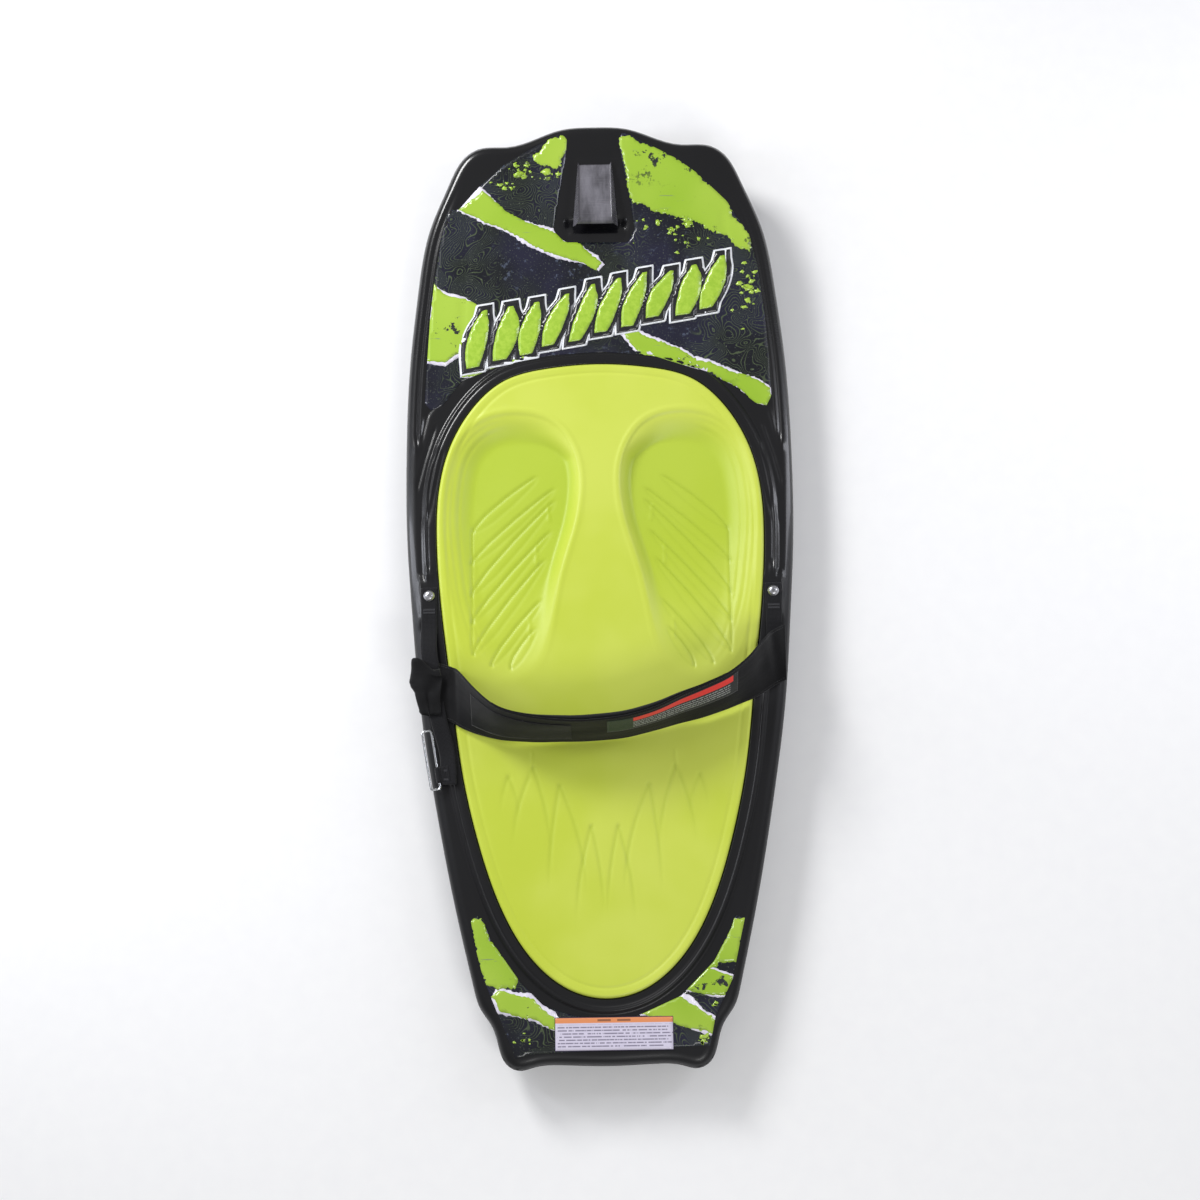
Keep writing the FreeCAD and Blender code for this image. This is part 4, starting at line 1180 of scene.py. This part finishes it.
def caution_label():
    """Printed label: an orange band over a pale lilac body with rows of plain grey bars."""
    f = Finish("caution_label_print", IOR=1.5, Coat_Weight=0.35, Coat_Roughness=0.1)
    place = f.place()
    x, y, _ = f.axes(place)
    t = y + 0.627
    from_middle = (x - 0.008).size()
    head = t.ramp(0.0362, 0.0365)
    lines = t / 0.0041
    line = (lines.fraction() - 0.5).size().ramp(0.24, 0.18)
    number = lines.floor()
    words = f.noise(f.joined(x * 330.0, number * 3.7), 1.0, 2.0, 0.6).ramp(0.40, 0.46)
    reach = f.noise(f.joined(number * 2.3, 4.0), 1.0, 0.0) * 0.05 + 0.045
    inset = (reach + 0.012 - x).ramp(0.0, 0.001) * (x + 0.067).ramp(0.0, 0.001)
    bars = line * words * inset * (1 - head) * t.ramp(0.0045, 0.005) * t.ramp(0.0345, 0.034)
    border = 1 - from_middle.ramp(0.0776, 0.0773) * t.ramp(0.0008, 0.0012) * t.ramp(0.0434, 0.043)
    sign = (from_middle - 0.013).size().ramp(0.009, 0.0086) * (t - 0.0398).size().ramp(0.0016, 0.0013)
    cloud = f.noise(place, 60.0, 4.0, 0.6)
    colour = f.blend(cloud, rgb(203, 197, 218), rgb(216, 210, 228))
    colour = f.blend(bars * 0.8, colour, rgb(104, 98, 120))
    colour = f.blend(head, colour, rgb(224, 142, 92))
    colour = f.blend(head * sign * 0.7, colour, rgb(92, 58, 44))
    colour = f.blend(border, colour, rgb(58, 48, 76))
    return f.finish(colour, 0.3 + 0.15 * cloud, f.bump(f.noise(place, 500.0, 2.0), 0.08, 0.0002))


def metal(name, low, high, rough, brush):
    """Metal with a fine grain that runs the way brush is drawn out."""
    f = Finish(name, Metallic=1.0)
    place = f.place()
    grain = f.noise(f.stretched(place, brush), 1.0, 3.0, 0.6)
    tarnish = f.noise(place, 160.0, 4.0, 0.6)
    colour = f.blend(tarnish.ramp(0.35, 0.75), low, high)
    shine = rough + 0.12 * tarnish + 0.1 * grain
    return f.finish(colour, shine, f.bump(grain, 0.12, 0.0001))


def rigid_foam():
    """Poured foam of the core."""
    f = Finish("rigid_foam", Subsurface_Weight=0.0, IOR=1.4)
    place = f.place()
    cells = f.cells(place, 700.0)
    broad = f.noise(place, 14.0, 4.0, 0.6)
    colour = f.blend(broad.ramp(0.35, 0.7), rgb(226, 214, 176), rgb(206, 188, 140))
    colour = f.blend(cells.ramp(0.5, 0.9) * 0.5, colour, rgb(166, 146, 100))
    return f.finish(colour, 0.85 + 0.1 * cells, f.bump(1 - cells, 0.5, 0.0006))


def sewing_thread():
    """Twisted black thread."""
    f = Finish("sewing_thread", Sheen_Weight=0.4, IOR=1.45, Specular_IOR_Level=0.3)
    place = f.place()
    x, y, z = f.axes(place)
    twist = (((x + y + z) * 9000.0).sine()) * 0.5 + 0.5
    lint = f.noise(place, 1500.0, 3.0, 0.6)
    colour = f.blend(twist, rgb(26, 26, 29), rgb(54, 54, 58))
    return f.finish(colour, 0.62 + 0.2 * lint, f.bump(twist + lint, 0.4, 0.0002))


def floor_paint():
    """Plain pale floor."""
    f = Finish("floor_paint", IOR=1.45, Specular_IOR_Level=0.2)
    place = f.place()
    speckle = f.noise(place, 40.0, 3.0)
    colour = f.blend(speckle, (0.86, 0.86, 0.87, 1), (0.9, 0.9, 0.9, 1))
    return f.finish(colour, 0.8 + 0.1 * speckle)


def give(node, material):
    """Puts a finish on a CAD node as it stands."""
    slots = nodes[node].data.materials
    if len(slots) == 0:
        slots.append(material)
    for number in range(len(slots)):
        slots[number] = material


# ---------------------------------------------------------------- tow hook

def tow_hook(finish):
    """Raised hook: a ramp from the nose, level top, sloped flanks, and a lip over the hollow."""
    top = float(deck_height(np.array(506.0))) + hook_tall
    profile = ((hook_front, 76.0), (hook_front, None), (572.0, top - 2.75), (540.0, top - 0.5), (511.0, top),
               (506.0, top - 5.0), (506.0, top - 10.0), (524.0, top - 10.0), (524.0, 74.0))
    points = []
    for y, z in profile:
        z = float(deck_height(np.array(y))) + 2.5 if z is None else z
        share = min(1.0, max(0.0, (z - float(deck_height(np.array(y)))) / hook_tall))
        back = (hook_front - y) / 88.0
        half = (24.0 + 13.0 * back) * (1 - share) + (17.0 + 7.5 * back) * share
        points.append([(-half, y, z), (half, y, z)])
    count = len(points)
    flat = [p for pair in points for p in pair]
    faces = [[2 * k, 2 * k + 1, 2 * ((k + 1) % count) + 1, 2 * ((k + 1) % count)] for k in range(count)]
    sides = [[2 * k for k in range(count)][::-1], [2 * k + 1 for k in range(count)]]
    made = as_piece("tow_hook", flat, outward(flat, faces) + sides, finish)
    soften = made.modifiers.new("soft_edges", "BEVEL")
    soften.width = 0.0028
    soften.segments = 4
    soften.limit_method = "ANGLE"
    soften.harden_normals = True
    return made


# ---------------------------------------------------------------- shapes of the print, mm

def slash(x, y, wide, tall, lean, bend, grow=0.0):
    """A slanted brush mark, broad at the foot and drawn out to a point at the top."""
    run = np.linspace(0, 1, 14)
    middle = np.column_stack([lean * (run - 0.5) + bend * np.sin(np.pi * run), tall * (run - 0.5)])
    half = wide / 2 * (0.72 + 0.5 * np.sin(np.pi * np.clip(run * 1.15, 0, 1)))
    half = half * np.clip((1.12 - run) * 3.2, 0, 1) + grow
    middle[0, 1] -= grow
    middle[-1, 1] += grow
    left = np.column_stack([middle[:, 0] - half, middle[:, 1] - 0.16 * half])
    right = np.column_stack([middle[:, 0] + half, middle[:, 1] + 0.16 * half])
    return np.vstack([left, right[::-1]]) + (x, y)


nose_edge = (
    (-191, 533), (-206, 534), (-216, 490), (-226, 430), (-232, 380), (-236, 325), (-239, 285),
    (-240, 259), (-231, 249), (-215, 256), (-189, 290), (-132, 313), (-62, 324), (9, 328), (80, 320),
    (150, 297), (185, 280), (219, 252), (233, 249), (240, 263), (238, 320), (234, 377), (225, 451),
    (214, 493), (184, 540), (142, 581), (116, 600), (86, 616), (51, 635), (39, 638), (34, 628), (42, 580),
    (50, 534), (55, 503), (45, 484), (-43, 485), (-59, 502), (-50, 550), (-40, 606), (-38, 629),
    (-45, 638), (-72, 626), (-102, 610), (-130, 593), (-165, 562),
)
tail_edge = (
    (-172, -448), (-180, -454), (-174, -490), (-164, -530), (-140, -590), (-122, -636), (-100, -630),
    (134, -622), (142, -584), (166, -535), (184, -456), (171, -452), (166, -468), (142, -512), (97, -557),
    (42, -581), (4, -587), (-44, -581), (-85, -567), (-115, -536), (-153, -481), (-164, -452),
)
# torn lime shapes, each on a pale torn edge
nose_shapes = (
    ((-190, 533), (-157, 563), (-126, 530), (-101, 515), (-59, 500), (-22, 483), (8, 455), (0, 443),
     (-18, 455), (-71, 472), (-129, 504), (-164, 522)),
    ((21, 374), (60, 355), (103, 335), (142, 316), (203, 295), (239, 274), (240, 250), (219, 252),
     (185, 280), (150, 297), (80, 320), (58, 326), (40, 350)),
    ((-228, 432), (-209, 416), (-187, 407), (-150, 388), (-140, 366), (-186, 334), (-211, 317),
     (-238, 321)),
    ((-189, 296), (-176, 344), (-128, 351), (-114, 340), (-94, 322), (-132, 312), (-170, 298)),
)
# lime areas without a pale edge
nose_blocks = (
    ((34, 634), (85, 618), (142, 583), (190, 535), (216, 491), (214, 470), (167, 495), (132, 514),
     (91, 527), (50, 537), (42, 580)),
    ((-86, 606), (-72, 622), (-60, 633), (-45, 639), (-38, 629), (-43, 592), (-54, 586), (-66, 596),
     (-78, 594)),
)
# places where the brush has spattered: middle, reach and number of drops
nose_drops = (
    ((-104, 592), (20, 12), 15), ((-122, 566), (14, 10), 8), ((-62, 578), (16, 8), 8),
    ((95, 508), (55, 14), 22), ((214, 432), (13, 16), 14), ((205, 395), (14, 30), 12),
    ((120, 484), (50, 14), 12),
)
tail_shapes = (
    ((-150, -556), (-142, -548), (-102, -557), (-70, -584), (-70, -599), (-103, -583), (-142, -574)),
    ((131, -521), (168, -532), (158, -558), (100, -549), (116, -532)),
    ((42, -579), (96, -555), (142, -588), (137, -607), (112, -598), (80, -588)),
)
tail_blocks = (
    ((-180, -453), (-164, -447), (-153, -478), (-115, -532), (-120, -546), (-161, -540), (-172, -500)),
    ((170, -453), (185, -457), (175, -503), (146, -520), (130, -519), (152, -490)),
)
tail_drops = (
    ((-92, -545), (14, 6), 7), ((128, -612), (8, 16), 12), ((-110, -612), (14, 10), 7),
    ((146, -568), (8, 8), 5),
)


def torn(shapes, blocks, edge, seed):
    """Layers for one film: torn pale edges with lime on them, and lime blocks."""
    layers = []
    for number, shape in enumerate(shapes):
        shape = np.array(shape, float)
        out = shape - shape.mean(0)
        pale = shape + out / np.maximum(1.0, np.linalg.norm(out, axis=1))[:, None] * 5.0
        layers.append((pulled_in(ragged(pale, 2.0, seed + number), edge), paper_lift, paper))
        layers.append((pulled_in(ragged(shape, 1.8, seed + 20 + number), edge), lime_lift, lime))
    for number, shape in enumerate(blocks):
        layers.append((pulled_in(ragged(shape, 3.2, seed + 40 + number, fine=2.0), edge), block_lift, lime))
    return layers


def drops(places, edge, seed):
    """Small uneven spots of lime thrown round each place."""
    rng = np.random.default_rng(seed)
    layers = []
    for middle, reach, number in places:
        for spot in rng.normal(0, 0.6, (number, 2)) * reach + middle:
            around = np.linspace(0, math.tau, 13)[:-1]
            far = rng.uniform(0.9, 4.6) * rng.uniform(0.4, 1.4, 12) * rng.choice((0.6, 1.0))
            drawn_out = rng.uniform(0.8, 1.9)
            shape = np.column_stack([np.cos(around) * far * drawn_out, np.sin(around) * far]) + spot
            if inside(shape, edge).all():
                layers.append((shape, drop_lift, lime))
    return layers


def marks_layers():
    """A row of plain slanted brush marks that share one dark keyline and one pale outline."""
    rng = np.random.default_rng(12)
    layers = []
    for k in range(10):
        x = -164.0 + 36.5 * k
        y = 352.0 + 8.0 * k + rng.uniform(-4, 4)
        tall = rng.uniform(66, 82)
        lean, bend = 22.0 + rng.uniform(-7, 7), rng.uniform(-4, 4)
        wide = rng.uniform(22, 27)
        for grow, lift, number in ((9.5, 0.85, outline), (7.0, 0.97, keyline), (0.0, 1.09, bright)):
            shape = evenly(slash(x, y, wide, tall, lean, bend, grow), 90)
            layers.append((shape if grow else ragged(shape, 0.5, 90 + k, fine=2.0), lift, number))
    return layers


# ---------------------------------------------------------------- camera and light

def studio():
    """Camera over the leaned back board, four soft lights, a pale world and the floor."""
    scene = bpy.context.scene
    lean, roll = math.radians(12.0), math.radians(0.903)
    data = bpy.data.cameras.new("camera")
    frame_side, away = 1200, 3.6
    data.sensor_width = 36.0
    data.lens = 78.45
    data.shift_x = -1 / frame_side
    data.shift_y = -19 / frame_side
    data.clip_start = 0.05
    data.clip_end = 50.0
    camera = bpy.data.objects.new("camera", data)
    scene.collection.objects.link(camera)
    right, up = Vector((1, 0, 0)), Vector((0, math.cos(lean), math.sin(lean)))
    back = Vector((0, -math.sin(lean), math.cos(lean)))
    across = math.cos(roll) * right - math.sin(roll) * up
    upward = math.sin(roll) * right + math.cos(roll) * up
    matrix = Matrix((across, upward, back)).transposed().to_4x4()
    matrix.translation = Vector((0, 0.011, 0.035)) + back * away
    camera.matrix_world = matrix
    scene.camera = camera
    for name, place, aim, size, power, tint in (
        ("key", (-1.5, 1.7, 1.7), (0, 0.1, 0), (0.8, 0.8), 54, (1, 1, 1)),
        ("left_strip", (-1.5, 0.3, 0.8), (0, 0.2, 0.1), (0.2, 1.8), 12, (0.88, 0.91, 1)),
        ("right_strip", (1.6, 0.5, 0.9), (0, 0.1, 0.1), (0.25, 1.8), 11, (0.90, 0.92, 1)),
        ("rider_fill", (0.9, -2.3, 2.4), (0, -0.1, 0), (1.4, 1.0), 33, (1, 1, 1)),
    ):
        light = bpy.data.lights.new(name, "AREA")
        light.shape = "RECTANGLE"
        light.size, light.size_y = size
        light.energy = power
        light.color = tint
        lamp = bpy.data.objects.new(name, light)
        lamp.location = place
        lamp.rotation_mode = "QUATERNION"
        lamp.rotation_quaternion = (Vector(aim) - Vector(place)).to_track_quat("-Z", "Y")
        scene.collection.objects.link(lamp)
    world = bpy.data.worlds.new("studio")
    world.use_nodes = True
    world.node_tree.nodes["Background"].inputs["Color"].default_value = (1, 1, 1, 1)
    world.node_tree.nodes["Background"].inputs["Strength"].default_value = 0.34
    scene.world = world
    scene.view_settings.view_transform = "Standard"
    far, low = 9000, -0.5
    floor = as_piece("floor", [(-far, -far, low), (far, -far, low), (far, far, low), (-far, far, low)],
                     [(0, 1, 2, 3)], floor_paint())


# ---------------------------------------------------------------- putting it together

studio()
black = moulded_plastic("moulded_plastic")
hull = hull_skin(black)
pad = knee_pad_foam(pad_foam())

films = [film_dark(), film_lime(), film_plain("film_torn_paper", rgb(214, 208, 226), rgb(236, 232, 242)),
         film_plain("film_keyline", rgb(10, 11, 15), rgb(20, 21, 27)),
         film_plain("film_outline", rgb(216, 220, 226), rgb(240, 242, 244)),
         film_plain("film_bright_lime", rgb(148, 186, 46), rgb(166, 200, 62))]
nose_line, tail_line = evenly(nose_edge, 420), evenly(tail_edge, 300)
nose_film = build_film("nose_film", [(nose_line, ground_lift, ground)]
                       + torn(nose_shapes, nose_blocks, nose_line, 5)
                       + drops(nose_drops, nose_line, 31) + marks_layers(), films)
tail_film = build_film("tail_film", [(tail_line, ground_lift, ground)]
                       + torn(tail_shapes, tail_blocks, tail_line, 70)
                       + drops(tail_drops, tail_line, 55), films)
label_line = evenly(((-70, -627), (86, -627), (86, -583), (-70, -583)), 200)
label = build_film("caution_label", [(label_line, label_lift, ground)], caution_label())
for piece, node, slot in ((hull, "hull_shell", "hull_plastic"), (pad, "knee_pad", "pad_foam"),
                          (nose_film, "nose_graphic", "printed_film"),
                          (tail_film, "tail_graphic", "printed_film"),
                          (label, "warning_label", "label_film")):
    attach(piece, "board")
    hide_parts(node)

# the hook's finish paints a pale grey sky reflection on its top
hook = tow_hook(moulded_plastic("hook_plastic", 0.8))
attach(hook, "board")

cloth = strap_face()
webbing = woven("webbing_weave", rgb(9, 9, 11), rgb(28, 28, 32), 0.0018, sheen=0.2, twill=1.0)
foam_cover = woven("padding_cover", rgb(9, 9, 10), rgb(20, 20, 22), 0.0009, sheen=0.15, rough=0.82)
pile = tape_pile("tape_pile", rgb(8, 8, 9), rgb(26, 26, 29))
thread = sewing_thread()
rows = stitch_tree(thread)

band = on_band("strap_band_cloth", (0.0, 13.0), (0.0, 1.0), 0.0, 2.5, cloth, steps=420, cells=44, edge=1.2)
padding = on_band("strap_padding_foam", (5.0, 10.0), (0.02, 0.98), -7.0, -0.1, foam_cover, steps=240,
                  cells=36, crown=2.2, edge=3.2, taper=75.0)
label_cloth = on_band("strap_label_cloth", (label_from, label_to), (label_share, 0.90), 2.5, 3.1,
                      woven_label(), steps=160, cells=20, edge=0.3)
tape = on_band("strap_loop_tape", (tape_from, tape_to), (0.17, 0.83), 2.5, 3.4, pile, steps=120, cells=24,
               edge=0.4)
for piece, node, slot in ((band, "strap_band", "strap_fabric"), (padding, "strap_padding", "padding"),
                          (label_cloth, "strap_label", "woven_label"), (tape, "loop_tape", "hook_loop")):
    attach(piece, "strap")
    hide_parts(node)

left_path = ((-234.1, -3.0, 72.6), (-234.1, -25.0, 72.6), (-234.1, -45.0, 72.6), (-234.1, -57.0, 73.2),
             (-234.1, -85.0, 80.8), (-228.0, -140.0, 80.8), (-220.3, -189.0, 80.4), (-211.0, -225.0, 76.6),
             (-208.5, -250.0, 75.8), (-208.3, -273.0, 75.6))
left = tape_along("webbing_left", left_path, webbing_width, webbing_thick, webbing,
                  turn=((0.0, 0.72, 0.86, 1.0), (0, 0, 14, 4)))
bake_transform(left)
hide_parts("anchor_webbing_left", "side_webbing_left")
right_path = ((234.1, -3.0, 72.6), (234.1, -25.0, 72.6), (234.1, -45.0, 72.6), (234.1, -57.0, 72.6),
              (234.1, -95.0, 72.6), (234.1, -136.0, 72.6))
right = tape_along("webbing_right", right_path, webbing_width, webbing_thick, webbing)
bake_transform(right)
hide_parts("anchor_webbing_right", "side_webbing_right")

sleeve = ring_sleeve(webbing)
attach(sleeve, "strap")
flap = folded_flap(cloth)
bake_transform(flap)
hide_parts("flap_band")

label_sewn, tape_sewn, inset = (0.445, 0.875), (0.19, 0.81), 0.03
seams = [band_seam((0.2, 12.8), share, 2.5) for share in (0.05, 0.95)]
seams += [band_seam((label_from + inset, label_to - inset), share, 3.1, 90) for share in label_sewn]
seams += [band_seam((tape_from + inset, tape_to - inset), share, 3.4, 70) for share in tape_sewn]
seams += [cross_seam(at, label_sewn, 3.1) for at in (label_from + inset, label_to - inset)]
strap_stitches = stitches("strap_stitches", seams, rows)
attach(strap_stitches, "strap")

steel = metal("stainless", rgb(176, 176, 180), rgb(208, 208, 212), 0.22, (60.0, 900.0, 60.0))
chrome = metal("chrome_wire", rgb(196, 198, 202), rgb(226, 228, 230), 0.1, (300.0, 60.0, 300.0))
turned_brass = metal("turned_brass", rgb(168, 136, 74), rgb(206, 172, 104), 0.28, (120.0, 120.0, 2600.0))
for side in ("left", "right"):
    give("strap_screw_" + side, steel)
    give("cup_washer_" + side, steel)
    give("threaded_insert_" + side, turned_brass)
give("wire_ring", chrome)
give("foam_core", rigid_foam())
give("foam_fill_plug", black)
give("hook_tape", pile)
for bartacks in ("anchor_bartacks", "webbing_bartacks"):
    give(bartacks, thread)
